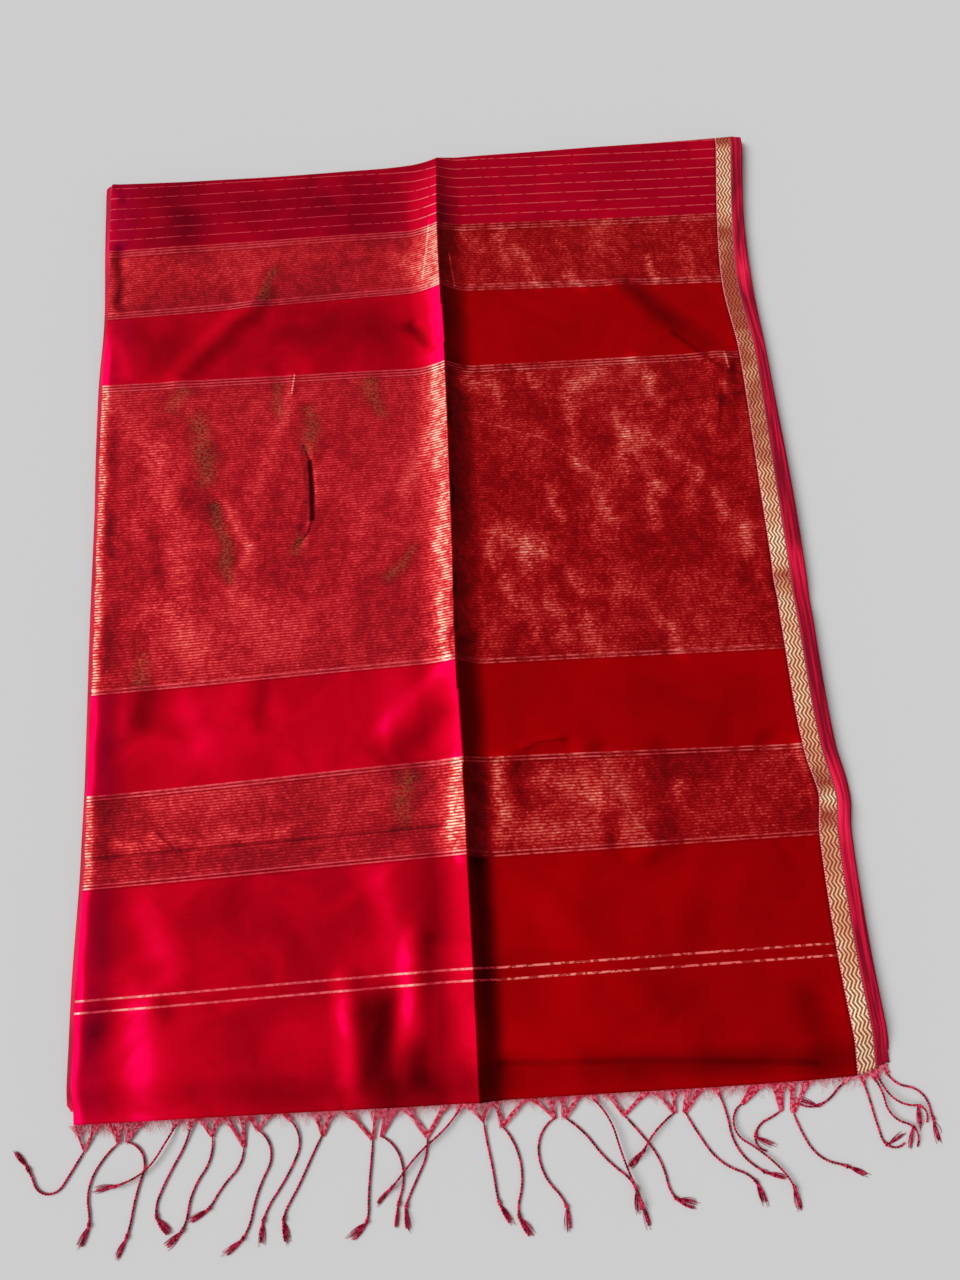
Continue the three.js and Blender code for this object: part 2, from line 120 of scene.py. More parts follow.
LOOM_WIDTH = 1150
HALF_WIDTH = LOOM_WIDTH / 4
STACK_TOP = 10
HEM_TOP = 3.2
HEM_SLOPE = 28
FOLD_RADIUS = 2.6
BORDER_WIDTH = 14.7
SELVEDGE_DROP = 1.6
CREASE_POWER = 1.6

LINES = table(
    "y left crease border right",
    (-390, -HALF_WIDTH - 1, -2.3, 265.7, 290.5),
    (-306, -HALF_WIDTH - 1, -1.1, 262.5, 287.2),
    (-228, -HALF_WIDTH + 1, -0.5, 263.5, 287.7),
    (-198, -HALF_WIDTH + 1, 0, 267.3, 291.8),
    (-160, -HALF_WIDTH + 1, 0.2, 261.3, 286.8),
    (-80, -HALF_WIDTH + 1, 0, 259.7, 286),
    (40, -HALF_WIDTH, 3.5, 259.8, 287.4),
    (185, -HALF_WIDTH - 1, 6.5, 260.3, 284.2),
    (252, -HALF_WIDTH + 1, 6.5, 255, 281.9),
    (322, -HALF_WIDTH, 7.4, 259.6, 284.3),
    (400, -HALF_WIDTH, 10.9, 269, 294),
)
ENDS = table(
    "x hem top",
    (-HALF_WIDTH, -392, 394),
    (-150, -394, 393),
    (-45, -396, 395.5),
    (0, -396, 399),
    (25, -396, 403),
    (262, -397, 409),
    (HALF_WIDTH, -390, 410),
)
CREASE = table(
    "y height left_flank right_flank",
    (-396, 5.5, 24, 18),
    (-200, 8, 26, 21),
    (0, 9.5, 28, 23),
    (200, 10.5, 28, 24),
    (330, 9.5, 28, 23),
    (400, 4, 24, 18),
)

# %% [markdown]
# Soft folds lie across the halves where the packet was pressed and opened again. Each is a straight ridge,
# or a trough where its height is negative, that fades to both sides. The finer ones are only in the cloth
# that shows, because they are too shallow for the solids.

# %% Folds pressed into the cloth
FOLDS = table(
    "x0 y0 x1 y1 height half_width",
    (-41, -285, -51, -390, 1.6, 15),
    (-56, -325, -78, -390, -0.9, 13),
    (-92, -310, -91, -390, 1.3, 15),
    (-221, 190, -152, 265, 1.3, 18),
    (165, 258, 243, 176, 1.8, 18),
    (243, 176, 238, 110, 1.2, 16),
    (95, -155, 130, -232, 1.3, 16),
    (245, -18, 290, -44, -1.8, 18),
    (240, -160, 290, -196, -2, 18),
    (20, -372, 238, -384, -0.8, 14),
)
FINE_FOLDS = table(
    "x0 y0 x1 y1 height half_width",
    (-115, 118, -111, 78, -0.8, 6),
    (-111, 72, -121, 29, -0.7, 6),
    (-125, 186, -125, 168, 0.5, 6),
    (-282, -211, -20, -205, -0.5, 7),
    (-233, -196, -218, -208, 0.6, 7),
    (-18, 228, -6, 207, -0.8, 8),
    (49, -147, 76, -144, 0.7, 7),
    (170, 142, 238, 138, 0.5, 7),
    (253, -22, 258, -43, 0.8, 8),
    (261, -158, 267, -198, 1.0, 8),
    (-290, 394, -281, 376, 0.8, 9),
    (-277, 322, -275, 270, -0.7, 8),
    (-230, 60, -196, 128, 0.5, 14),
    (-60, 60, -84, -44, 0.5, 16),
    (-250, -110, -180, -140, 0.5, 18),
    (60, 100, 150, 20, 0.5, 20),
    (150, 120, 90, -40, -0.4, 18),
    (40, -250, 120, -330, 0.6, 20),
    (190, -240, 150, -340, -0.5, 22),
    (-180, -250, -120, -300, 0.5, 20),
)

# %% [markdown]
# Silk tells every small lean of the cloth by a change of tone. The places where it leans to the window or
# away are kept as strokes: each has two ends, a tone (positive is brighter) and a half width. They shape
# the cloth a little, and they paint light and shade into its colours, which counts for more.

# %% Where the cloth leans to the light
DRAPE_AND_PAINTED_LIGHT = table(
    "x0 y0 x1 y1 tone half_width",
    # Painted light and shade on the left half, from the hem up
    (-271, -92, -270, -330, -0.13, 15),
    (-274, -335, -276, -350, -0.12, 16),
    (-244, -86, -246, -108, -0.18, 14),
    (-243, -320, -238, -390, 0.22, 25),
    (-240, -250, -222, -295, 0.13, 16),
    (-226, -317, -224, -323, -0.15, 12),
    (-150, -85, -153, -118, -0.1, 11),
    (-165, -255, -110, -275, -0.08, 46),
    (-160, -350, -120, -385, -0.05, 48),
    (-68, -240, -44, -340, 0.17, 15),
    (-28, -232, -30, -392, -0.12, 17),
    (-94, -325, -91, -385, 0.19, 11),
    (-72, -330, -66, -394, -0.28, 20),
    (-12, -372, -8, -396, -0.14, 12),
    (-48, -368, -44, -396, -0.18, 18),
    (-16, -84, -62, -128, 0.15, 12),
    (-14, -118, -56, -150, -0.11, 14),
    (-215, -95, -200, -130, 0.1, 14),
    (-262, -203, -135, -201, 0.15, 8),
    (-240, -172, -150, -170, 0.05, 12),
    (-265, -214, -30, -210, -0.06, 10),
    (-42, -165, -44, -196, -0.12, 17),
    (-272, -60, -272, -20, -0.13, 12),
    (-235, -15, -205, -50, 0.14, 20),
    (-165, -20, -130, -45, 0.08, 25),
    (-280, 160, -240, 118, 0.09, 20),
    (-240, 118, -215, 30, 0.1, 18),
    (-255, 60, -215, -5, 0.1, 20),
    (-222, 84, -198, 66, -0.09, 13),
    (-204, 150, -196, 92, -0.07, 16),
    (-190, 66, -177, 5, -0.13, 11),
    (-184, 72, -163, 32, 0.14, 7),
    (-163, 32, -178, -8, 0.12, 7),
    (-240, 45, -232, -5, -0.13, 11),
    (-276, 30, -276, 150, -0.11, 7),
    (-140, 188, -138, 150, -0.07, 11),
    (-112, 150, -108, 112, -0.07, 14),
    (-58, 178, -50, 148, -0.08, 12),
    (-48, -2, -28, 20, -0.1, 11),
    (-150, 8, -140, -5, -0.07, 10),
    (-130, 160, -155, 80, 0.1, 12),
    (-35, 75, -15, 110, 0.12, 16),
    (-26, 228, -1, 204, -0.15, 8),
    (-150, 256, -215, 192, -0.08, 11),
    (-232, 222, -238, 200, -0.07, 17),
    (-275, 225, -268, 200, 0.1, 10),
    (-120, 240, -60, 225, -0.08, 31),
    (-277, 322, -276, 262, -0.18, 7),
    (-250, 300, -160, 290, 0.06, 20),
    (-30, 300, -12, 280, 0.12, 12),
    (-120, 300, -60, 290, -0.04, 36),
    (-140, 290, -150, 262, -0.1, 10),
    (-230, 385, -215, 335, -0.08, 26),
    (-100, 360, -60, 350, -0.04, 36),
    (-250, 228, -50, 222, -0.07, 55),
    (-250, 365, -70, 360, -0.09, 50),
    (-230, -120, -60, -110, 0.05, 45),
    # Painted highlights beside the crest of the crease, and thin painted shade just right of it, from the hem
    # up
    (-8, -228, -9, -212, 0.15, 5),
    (-9, -205, -10, -188, 0.3, 8),
    (-8, -180, -6, -158, 0.2, 5),
    (-8, -76, -8, -50, 0.25, 5),
    (-10, -42, -9, -24, 0.28, 6),
    (-5, -8, -6, 8, 0.22, 4.5),
    (-8, 16, -8, 30, 0.26, 5),
    (-4, 46, -4, 74, 0.2, 4),
    (-3, 90, -4, 130, 0.24, 4.5),
    (-5, 140, -3, 180, 0.24, 4.5),
    (-1.5, -76, 0.5, -10, -0.25, 2),
    (1.5, -8, 3, 60, -0.2, 2),
    (3.5, 62, 5, 150, -0.15, 2),
    # Painted shade of the crease, from the hem up
    (8, -396, 8, -232, -0.26, 13),
    (10, -225, 11, -60, -0.14, 12),
    (14, -60, 17, 180, -0.03, 11),
    (20, 190, 20, 255, -0.08, 14),
    # Painted light and shade on the right half, from the hem up
    (235, -345, 245, -392, -0.1, 18),
    (20, -372, 238, -386, -0.09, 10),
    (20, -360, 60, -376, 0.11, 20),
    (60, -265, 70, -340, 0.06, 29),
    (150, -100, 200, -130, -0.03, 34),
    (160, -330, 220, -260, -0.04, 41),
    (26, -160, 27, -198, 0.21, 9),
    (42, -158, 42, -188, -0.13, 9),
    (62, -172, 95, -190, 0.16, 14),
    (108, -162, 120, -192, 0.19, 10),
    (25, -212, 95, -212, 0.14, 13),
    (110, -203, 108, -226, -0.13, 8),
    (122, -206, 135, -224, 0.19, 10),
    (150, -160, 152, -226, -0.09, 16),
    (160, -190, 165, -186, 0.21, 9),
    (190, -170, 250, -215, -0.04, 34),
    (235, -160, 240, -170, 0.14, 9),
    (105, -50, 115, -75, 0.14, 9),
    (155, -40, 162, -58, 0.14, 8),
    (172, -60, 176, -82, 0.18, 7),
    (78, -30, 88, -62, 0.16, 9),
    (62, -26, 64, -60, 0.11, 8),
    (44, -12, 48, -28, 0.16, 7),
    (95, -8, 106, -22, 0.16, 9),
    (135, -20, 150, -30, 0.08, 9),
    (240, 20, 246, 2, 0.21, 7),
    (32, 28, 36, 0, 0.16, 6),
    (60, 15, 62, -4, 0.16, 9),
    (48, 28, 75, 12, 0.22, 14),
    (122, 60, 132, 38, 0.16, 8),
    (85, 65, 92, 40, 0.16, 8),
    (172, 62, 168, 30, 0.18, 10),
    (222, 56, 226, 36, 0.16, 7),
    (208, 72, 200, 40, 0.16, 7),
    (185, 100, 208, 70, 0.14, 8),
    (160, 95, 180, 60, 0.1, 9),
    (112, 85, 128, 76, 0.16, 7),
    (108, 110, 112, 85, 0.13, 7),
    (155, 112, 172, 104, 0.19, 10),
    (148, 130, 152, 75, 0.14, 8),
    (180, 160, 184, 138, 0.14, 8),
    (165, 180, 180, 162, 0.19, 10),
    (105, 148, 112, 120, 0.16, 8),
    (115, 160, 138, 172, 0.19, 11),
    (70, 175, 82, 160, 0.18, 9),
    (45, 172, 50, 150, 0.13, 9),
    (22, 172, 30, 166, 0.2, 11),
    (246, 176, 246, 150, 0.22, 8),
    (238, 160, 233, 112, -0.13, 7),
    (160, 262, 244, 166, -0.14, 13),
    (185, 240, 200, 215, -0.06, 20),
    (225, 290, 232, 262, 0.11, 8),
    (194, 285, 198, 258, 0.21, 6),
    (160, 320, 150, 300, 0.1, 8),
    (122, 268, 130, 258, 0.18, 7),
    (115, 310, 122, 285, 0.08, 7),
    (78, 300, 92, 262, 0.16, 7),
    (62, 318, 68, 288, 0.14, 8),
    (30, 320, 45, 300, 0.1, 9),
)

# Painted olive reflections: where the gold thread of the left half looks olive, because the cloth leans to
# neither side
OLIVE_REFLECTIONS = table(
    "x0 y0 x1 y1 tone half_width",
    (-218, 176, -228, 160, 0.9, 7),
    (-206, 148, -196, 92, 1.0, 9),
    (-190, 66, -177, 4, 1.0, 6),
    (-139, 186, -138, 150, 0.8, 5),
    (-112, 150, -110, 118, 0.9, 7),
    (-62, 178, -50, 146, 0.9, 6),
    (-50, -4, -30, 20, 0.9, 5),
    (-141, 290, -150, 262, 0.8, 5),
    (-44, -165, -46, -196, 0.8, 8),
    (-245, -60, -250, -76, 0.8, 7),
    (-121, 36, -124, 26, 0.8, 5),
)

# %% [markdown]
# A smooth curve through a table's rows carries every line. It is the cubic that takes its slope at a row
# from the rows on both sides, so a line bends softly through each place and never overshoots by much.

# %% Curves through the tables


def smooth(share):
    """A soft step from 0 to 1."""
    t = np.clip(share, 0, 1)
    return t * t * (3 - 2 * t)


def lerp(low, high, share):
    return low + (high - low) * share


def along(rows, entry, column, at):
    """The value of a column where the entry column has the value at, on a smooth curve through the rows."""
    x, y = rows[entry], rows[column]
    end = len(x) - 1
    low = np.clip(np.searchsorted(x, at, side="left") - 1, 0, end - 1)
    before, after = np.maximum(np.arange(end + 1) - 1, 0), np.minimum(np.arange(end + 1) + 1, end)
    slopes = (y[after] - y[before]) / (x[after] - x[before])
    span = x[low + 1] - x[low]
    t = np.clip((at - x[low]) / span, 0, 1)
    bend = t * (1 - t) * span * ((1 - t) * slopes[low] - t * slopes[low + 1])
    return lerp(y[low], y[low + 1], smooth(t)) + bend


def left_fold(y):
    return along(LINES, "y", "left", y)


def crease(y):
    return along(LINES, "y", "crease", y)


def border_in(y):
    return along(LINES, "y", "border", y)


def border_out(y):
    return border_in(y) + BORDER_WIDTH


def selvedge(y):
    return along(LINES, "y", "right", y)


def hem(x):
    return along(ENDS, "x", "hem", np.clip(x, -HALF_WIDTH, HALF_WIDTH))


def top_fold(x):
    return along(ENDS, "x", "top", x)


print("packet", round(float(selvedge(0) - left_fold(0))), "x", round(float(top_fold(0) - hem(0))), "mm")

# %% [markdown]
# The upper face is a height over every place: flat where the layers are pressed, sinking to the ground at
# the fringe, and raised in a sharp line at the centre crease, where the halves were folded on each other. A
# slow, shallow unevenness lies over all of it, because soft cloth never settles perfectly flat.

# %% The pallu's upper face
WAVE_HEIGHT = 0.35
WAVE_LENGTH = 34
DRAPE_RELIEF = 0.28
CRUMPLED_UP_TO = 8  # half width of the strokes whose edges are fully uneven


def beside(x, y, x0, y0, x1, y1, reach):
    """The points within reach of a stroke, and how far each lies from the stroke in x and y."""
    near_x = (x > min(x0, x1) - reach) & (x < max(x0, x1) + reach)
    near = near_x & (y > min(y0, y1) - reach) & (y < max(y0, y1) + reach)
    px, py, run_x, run_y = x[near], y[near], x1 - x0, y1 - y0
    t = np.clip(((px - x0) * run_x + (py - y0) * run_y) / (run_x**2 + run_y**2), 0, 1)
    return near, px - x0 - t * run_x, py - y0 - t * run_y


def folds_at(folds, x, y):
    total = np.zeros_like(x)
    for *ends, height, half_width in zip(*folds.values()):
        near, off_x, off_y = beside(x, y, *ends, half_width)
        total[near] += height * smooth(1 - np.hypot(off_x, off_y) / half_width)
    return total


def crumple(x, y):
    """Small waves that give the strokes the uneven edges of crumpled cloth."""
    wide = 1.3 * np.sin(y / 13 + x / 17)
    return wide + 1.7 * np.sin(y / 6 + 1.1 * np.sin(x / 9)), 2.2 * np.sin(x / 7 + 1.3 * np.sin(y / 10))


def strokes_at(strokes, x, y):
    """The sum of the strokes' tones at each point, and the shallow swell that each leaves in the cloth."""
    tone, swell = np.zeros_like(x), np.zeros_like(x)
    uneven_x, uneven_y = crumple(x, y)
    for *ends, amount, half_width in zip(*strokes.values()):
        uneven = min(CRUMPLED_UP_TO / half_width, 1) ** 2
        near, off_x, off_y = beside(x + uneven * uneven_x, y + uneven * uneven_y, *ends, 1.8 * half_width)
        fade = np.exp(-1.6 * (off_x**2 + off_y**2) / half_width**2)
        tone[near] += amount * fade
        swell[near] += DRAPE_RELIEF * amount * off_x * fade
    return tone, swell


def waves_at(x, y):
    """Slow unevenness, from -1 to 1."""
    warp = 0.8 * np.sin(x / 61 + 1.3 * np.sin(y / 83))
    first = np.sin(x / WAVE_LENGTH + 2.1 * np.sin(y / 97) + warp)
    second = np.sin(y / (1.3 * WAVE_LENGTH) + 1.7 * np.sin(x / 71 + 0.6) - warp)
    third = np.sin((x - 0.7 * y) / (0.55 * WAVE_LENGTH) + 1.1 * np.sin(y / 53))
    return (first * second + 0.45 * third) / 1.45


def crease_at(x, y):
    left = along(CREASE, "y", "left_flank", y)
    right = along(CREASE, "y", "right_flank", y)
    flank = np.where(x < crease(y), left, right)
    down = np.maximum(1 - np.abs(x - crease(y)) / flank, 0)
    height = along(CREASE, "y", "height", y)
    slope = height * CREASE_POWER * down ** (CREASE_POWER - 1) / flank
    return height * down**CREASE_POWER, slope


def cloth_top(x, y):
    from_hem = smooth((y - hem(x)) / HEM_SLOPE)
    to_selvedge = smooth((x - border_out(y)) / (selvedge(y) - border_out(y)))
    ridge, _ = crease_at(x, y)
    folds = folds_at(FOLDS, x, y) + folds_at(FINE_FOLDS, x, y) + WAVE_HEIGHT * waves_at(x, y)
    folds += strokes_at(DRAPE_AND_PAINTED_LIGHT, x, y)[1]
    return lerp(HEM_TOP, STACK_TOP, from_hem) + ridge + folds * from_hem - SELVEDGE_DROP * to_selvedge


def plumb(depth, x, y):
    """A depth measured square to the cloth, as a vertical one."""
    share = np.clip((y - hem(x)) / HEM_SLOPE, 0, 1)
    hem_slope = (STACK_TOP - HEM_TOP) / HEM_SLOPE * 6 * share * (1 - share)
    return depth * np.hypot(np.hypot(1, crease_at(x, y)[1]), hem_slope)


# %% [markdown]
# Every stretch of cloth is a grid of columns and rows. At the left and at the top the last ones turn round
# the fold, so that the cloth rolls down and the layers below come out from under it. Each column is a share
# of the way between two lines, moved by a distance.

# %% Columns and rows of the cloth
COLUMN_STEP = 2.6
ROW_STEP = 2.35
FLANK = 30
FOLD_STEPS = 9


def columns(start, end, shares, shift=0.0, turns=None):
    shares = np.atleast_1d(np.asarray(shares, float))
    return {
        "start": start,
        "end": end,
        "shares": shares,
        "shift": np.broadcast_to(np.asarray(shift, float), shares.shape),
        "turns": np.zeros(shares.shape) if turns is None else turns,
    }


def columns_x(blocks, y):
    """x of every column at the places y (rows by columns)."""
    parts = []
    first = 0
    for block in blocks:
        here = y[:, first : first + len(block["shares"])]
        first += len(block["shares"])
        parts.append(lerp(block["start"](here), block["end"](here), block["shares"]) + block["shift"])
    return np.concatenate(parts, axis=1)


def even(count, first=0.0, last=1.0):
    return np.linspace(first, last, count)


def rows_of(step):
    """Each row's share of the way from the hem to the top fold's start, and how far it has turned."""
    count = int((top_fold(0.0) - hem(0.0)) / step)
    turns = np.radians(even(FOLD_STEPS + 1, 0, 90))[1:]
    shares = np.concatenate([even(count), np.ones(FOLD_STEPS)])
    return shares, np.concatenate([np.zeros(count), turns])


def cloth_grid(blocks, depth, step=ROW_STEP, start_at=0.0):
    """Points (rows by columns by 3) of the cloth, `depth` under its upper face, and their places x and y."""
    row_shares, row_turns = rows_of(step)
    column_turns = np.concatenate([block["turns"] for block in blocks])
    shape = (len(row_shares), len(column_turns))
    share, row_turn = row_shares[:, None], np.broadcast_to(row_turns[:, None], shape)
    column_turn = np.broadcast_to(column_turns, shape)
    y = np.broadcast_to(lerp(hem(0.0) + start_at, top_fold(0.0), share), shape)
    for _ in range(3):
        x = columns_x(blocks, y)
        y = lerp(hem(x) + start_at, top_fold(x) - FOLD_RADIUS, share)
    turned = np.hypot(column_turn, row_turn)
    turn = np.minimum(turned, math.pi / 2)
    radius = FOLD_RADIUS - depth
    out = np.where(turned > 0, radius * np.sin(turn) / np.maximum(turned, 1e-9), 0)
    level = cloth_top(x, y)
    z = np.where(turned > 0, level - FOLD_RADIUS + radius * np.cos(turn), level - plumb(depth, x, y))
    arc_x, arc_y = x - FOLD_RADIUS * column_turn, y + FOLD_RADIUS * row_turn
    return np.stack([x - out * column_turn, y + out * row_turn, z], axis=2), arc_x, arc_y


# %% [markdown]
# The weft lines are not straight either: the packet was folded a little askew, so a band of gold thread
# rises towards the crease and sinks again on its other side. This table says how high each line of the
# weaving lies at the left fold, at the crease, just right of it, at the border and at the selvedge. Read
# backwards, it gives each point of the cloth its place in the weaving, and all patterns are drawn with
# that.

# %% Places in the weaving
WEFTS = table(
    "weft left crease inner border right",
    (-396, -392, -396, -396, -397, -390),
    (-315, -318.0, -314.2, -315.1, -314.7, -315.0),
    (-306.5, -309.9, -306.0, -307.0, -306.4, -305.9),
    (-228, -232.5, -225.5, -228.4, -228.6, -227.7),
    (-155, -163.9, -153.4, -153.9, -159.2, -161.6),
    (-80, -85.2, -76.6, -79.7, -83.2, -86.5),
    (185, 186.3, 185.2, 184.4, 183.7, 182.1),
    (258, 251.0, 260.9, 259.9, 253.6, 253.7),
    (326, 320.8, 324.8, 328.0, 324.7, 324.0),
    (406, 409, 409.5, 408.3, 405.5, 406),
)
INNER = 18  # from the crease to the column just right of it


def weft_place(x, y):
    """The weaving's place, in mm, of each point (rows by columns)."""
    lines = ["left", "crease", "inner", "border", "right"]
    knots = [left_fold(y), crease(y), crease(y) + INNER, border_in(y), selvedge(y)]
    heights = []
    for row in range(len(WEFTS["weft"])):
        stations = [WEFTS[line][row] for line in lines]
        level = np.full_like(y, stations[0])
        for (a, b), (low, high) in zip(zip(knots, knots[1:]), zip(stations, stations[1:])):
            level = np.where(x > a, lerp(low, high, smooth((x - a) / (b - a)) * 0.35
                                         + np.clip((x - a) / (b - a), 0, 1) * 0.65), level)
        heights.append(level)
    place = WEFTS["weft"][0] + (y - heights[0])
    for (low, high), (a, b) in zip(zip(heights, heights[1:]), zip(WEFTS["weft"], WEFTS["weft"][1:])):
        place = np.where(y > low, lerp(a, b, (y - low) / (high - low)), place)
    return place


# %% [markdown]
# A stretch of cloth becomes a closed thin shell: the grid, the same grid a thread's thickness lower, and a
# rim between them. The rim's faces stay flat-shaded, so that the halves meet in a clean line. The place in
# the weaving is stored as a UV map in metres, across and along.

# %% A thin closed shell from two grids
CLOTH_THICKNESS = 0.7


def rim_of(shape):
    """Indices of the rim of a grid, anticlockwise seen from above."""
    index = np.arange(shape[0] * shape[1]).reshape(shape)
    return np.concatenate([index[0, :-1], index[:-1, -1], index[-1, :0:-1], index[:0:-1, 0]])


def quads_of(shape):
    index = np.arange(shape[0] * shape[1]).reshape(shape)
    return np.stack([index[:-1, :-1], index[:-1, 1:], index[1:, 1:], index[1:, :-1]], axis=2).reshape(-1, 4)


def mesh_object(name, points, faces, flat_from=None, uv=None, attributes=None):
    """A mesh from points in mm and quads, with its UV map in metres and its point attributes."""
    mesh = bpy.data.meshes.new(name)
    mesh.vertices.add(len(points))
    mesh.vertices.foreach_set("co", (np.asarray(points) * MM).astype(np.float32).ravel())
    mesh.loops.add(faces.size)
    mesh.loops.foreach_set("vertex_index", faces.astype(np.int32).ravel())
    mesh.polygons.add(len(faces))
    mesh.polygons.foreach_set("loop_start", np.arange(0, faces.size, 4, dtype=np.int32))
    mesh.update(calc_edges=True)
    is_smooth = np.ones(len(faces), bool)
    if flat_from is not None:
        is_smooth[flat_from:] = False
    mesh.polygons.foreach_set("use_smooth", is_smooth)
    if uv is not None:
        layer = mesh.uv_layers.new(name="weave")
        layer.data.foreach_set("uv", (uv[faces.ravel()] * MM).astype(np.float32).ravel())
    for label, values in (attributes or {}).items():
        mesh.attributes.new(label, "FLOAT", "POINT").data.foreach_set("value", values.astype(np.float32))
    mesh.validate()
    mesh.update()
    piece = bpy.data.objects.new(name, mesh)
    bpy.context.collection.objects.link(piece)
    print(name, len(mesh.vertices), "points,", 2 * len(faces), "triangles")
    return piece


def cloth_shell(name, blocks):
    """A stretch of cloth over these columns, with the painted light and olive reflections of each point."""
    outer, x, y = cloth_grid(blocks, 0.0)
    inner, _, _ = cloth_grid(blocks, CLOTH_THICKNESS)
    shape = outer.shape[:2]
    count = shape[0] * shape[1]
    rim = rim_of(shape)
    after = np.roll(rim, -1)
    faces = np.concatenate([
        quads_of(shape),
        quads_of(shape)[:, ::-1] + count,
        np.stack([rim, rim + count, after + count, after], axis=1),
    ])
    points = np.concatenate([outer.reshape(-1, 3), inner.reshape(-1, 3)])
    place = np.stack([x, weft_place(x, y)], axis=2).reshape(-1, 2)
    lit, olive = light_at(x, y), strokes_at(OLIVE_REFLECTIONS, x, y)[0]
    looks = {"lit": np.tile(lit.ravel(), 2), "olive": np.tile(olive.ravel(), 2)}
    flat_from = 2 * len(quads_of(shape))
    return mesh_object(name, points, faces, flat_from, np.concatenate([place, place]), looks)


# %% [markdown]
# A silk thread shines along one line only, so a fold in silk has a bright side and a dark one that are far
# stronger than plain shading makes them. The sheen and the gloss of the shader give a part of that. The
# rest is painted light and shade in the colour: the shot red is painted hot pink where the cloth leans to
# the window and wine red where it leans away. So each point keeps a number of painted light, 0 in the
# shade and 1 in full light, and the colours follow it.

# %% How much light each point catches
# All painted light and shade: of flat cloth, of its lean, on the crease's flanks and on the left fold's roll
PLAIN = 0.5
LEAN_GAIN = 0.7
CREST_LIGHT = 1.25  # on the crease's left flank, and on its right
CREST_SHADE = 0.7
ROLL_LIGHT = 0.46
ROLL_WIDTH = 3.2
ROLL_FADES = (195, 262)  # above this the fold catches less light
WINDOW = (-math.cos(math.radians(KEY_FROM)), math.sin(math.radians(KEY_FROM)))


def light_at(x, y):
    """Painted light: the lean to the window, the crease, the drape strokes and the bright roll of the left
    fold.
    """
    reach = 1.5

    def level(at_x, at_y):
        return cloth_top(at_x, at_y) - crease_at(at_x, at_y)[0]

    slope_x = (level(x + reach, y) - level(x - reach, y)) / (2 * reach)
    slope_y = (level(x, y + reach) - level(x, y - reach)) / (2 * reach)
    lean = -(slope_x * WINDOW[0] + slope_y * WINDOW[1]) * smooth((y - hem(x)) / HEM_SLOPE * 2)
    crest = np.where(x < crease(y), CREST_LIGHT, -CREST_SHADE) * crease_at(x, y)[1] ** 2
    wavy = 3.4 + 1.1 * np.sin(y / 21) * np.sin(y / 9 + 1)
    roll = np.exp(-(((x - left_fold(y) - wavy) / ROLL_WIDTH) ** 2))
    roll *= 1 - 0.8 * smooth((y - ROLL_FADES[0]) / (ROLL_FADES[1] - ROLL_FADES[0]))
    return PLAIN + LEAN_GAIN * lean + crest + strokes_at(DRAPE_AND_PAINTED_LIGHT, x, y)[0] + ROLL_LIGHT * roll


flat_left = columns(lambda y: left_fold(y) + FOLD_RADIUS, lambda y: crease(y) - FLANK,
                    even(int((HALF_WIDTH - FLANK) / COLUMN_STEP)))
nose = columns(lambda y: left_fold(y) + FOLD_RADIUS, lambda y: left_fold(y) + FOLD_RADIUS,
               np.zeros(FOLD_STEPS), turns=np.radians(even(FOLD_STEPS + 1, 90, 0))[:-1])
left_flank = columns(crease, crease, np.zeros(25), shift=-FLANK * even(26, 1, 0)[1:])
right_flank = columns(crease, crease, np.zeros(26), shift=FLANK * even(26))
flat_right = columns(lambda y: crease(y) + FLANK, border_in, even(int((262 - FLANK) / COLUMN_STEP))[1:])

left_cloth = cloth_shell("pallu_left_cloth", [nose, flat_left, left_flank])
right_cloth = cloth_shell("pallu_right_cloth", [right_flank, flat_right])
border_cloth = cloth_shell("zari_border_cloth", [columns(border_in, border_out, even(9))])
selvedge_cloth = cloth_shell("selvedge_cloth", [columns(border_out, selvedge, even(8))])

# %% [markdown]
# Under the pallu lie the other stretches of the five and a half metres, folded on each other. Only their
# edges show, so one closed body stands for all of them: its top follows the pallu's underside, its
# underside is flat, and its sides are a stack of rounded folds that come out unevenly, as a hand-folded
# stack does.

# %% The layers under the pallu
LAYERS = 7
LAYER_STEPS = 7
GROUND = 0.3
UNDER_DEPTH = 1.1
HEM_STEP = 9
EDGE_REACH = {"left": 7.0, "right": 2.6, "top": 3.4, "hem": 0.6}


def outward_of(shape):
    """For each rim point, how far the layers reach out in x and y."""
    rows, cols = shape
    on_hem = [1] * cols + [0] * (2 * (rows - 1) + cols - 2)
    along_right = [0] * (cols - 1) + [1] * rows + [0] * (rows + cols - 3)
    along_top = [0] * (cols + rows - 2) + [1] * cols + [0] * (rows - 2)
    along_left = [1] + [0] * (2 * cols + rows - 4) + [1] * (rows - 1)
    x = EDGE_REACH["right"] * np.array(along_right) - EDGE_REACH["left"] * np.array(along_left)
    y = EDGE_REACH["top"] * np.array(along_top) - EDGE_REACH["hem"] * np.array(on_hem)
    corner = np.where((x != 0) & (y != 0), math.sqrt(0.5), 1.0)
    return np.stack([x * corner, y * corner], axis=1)


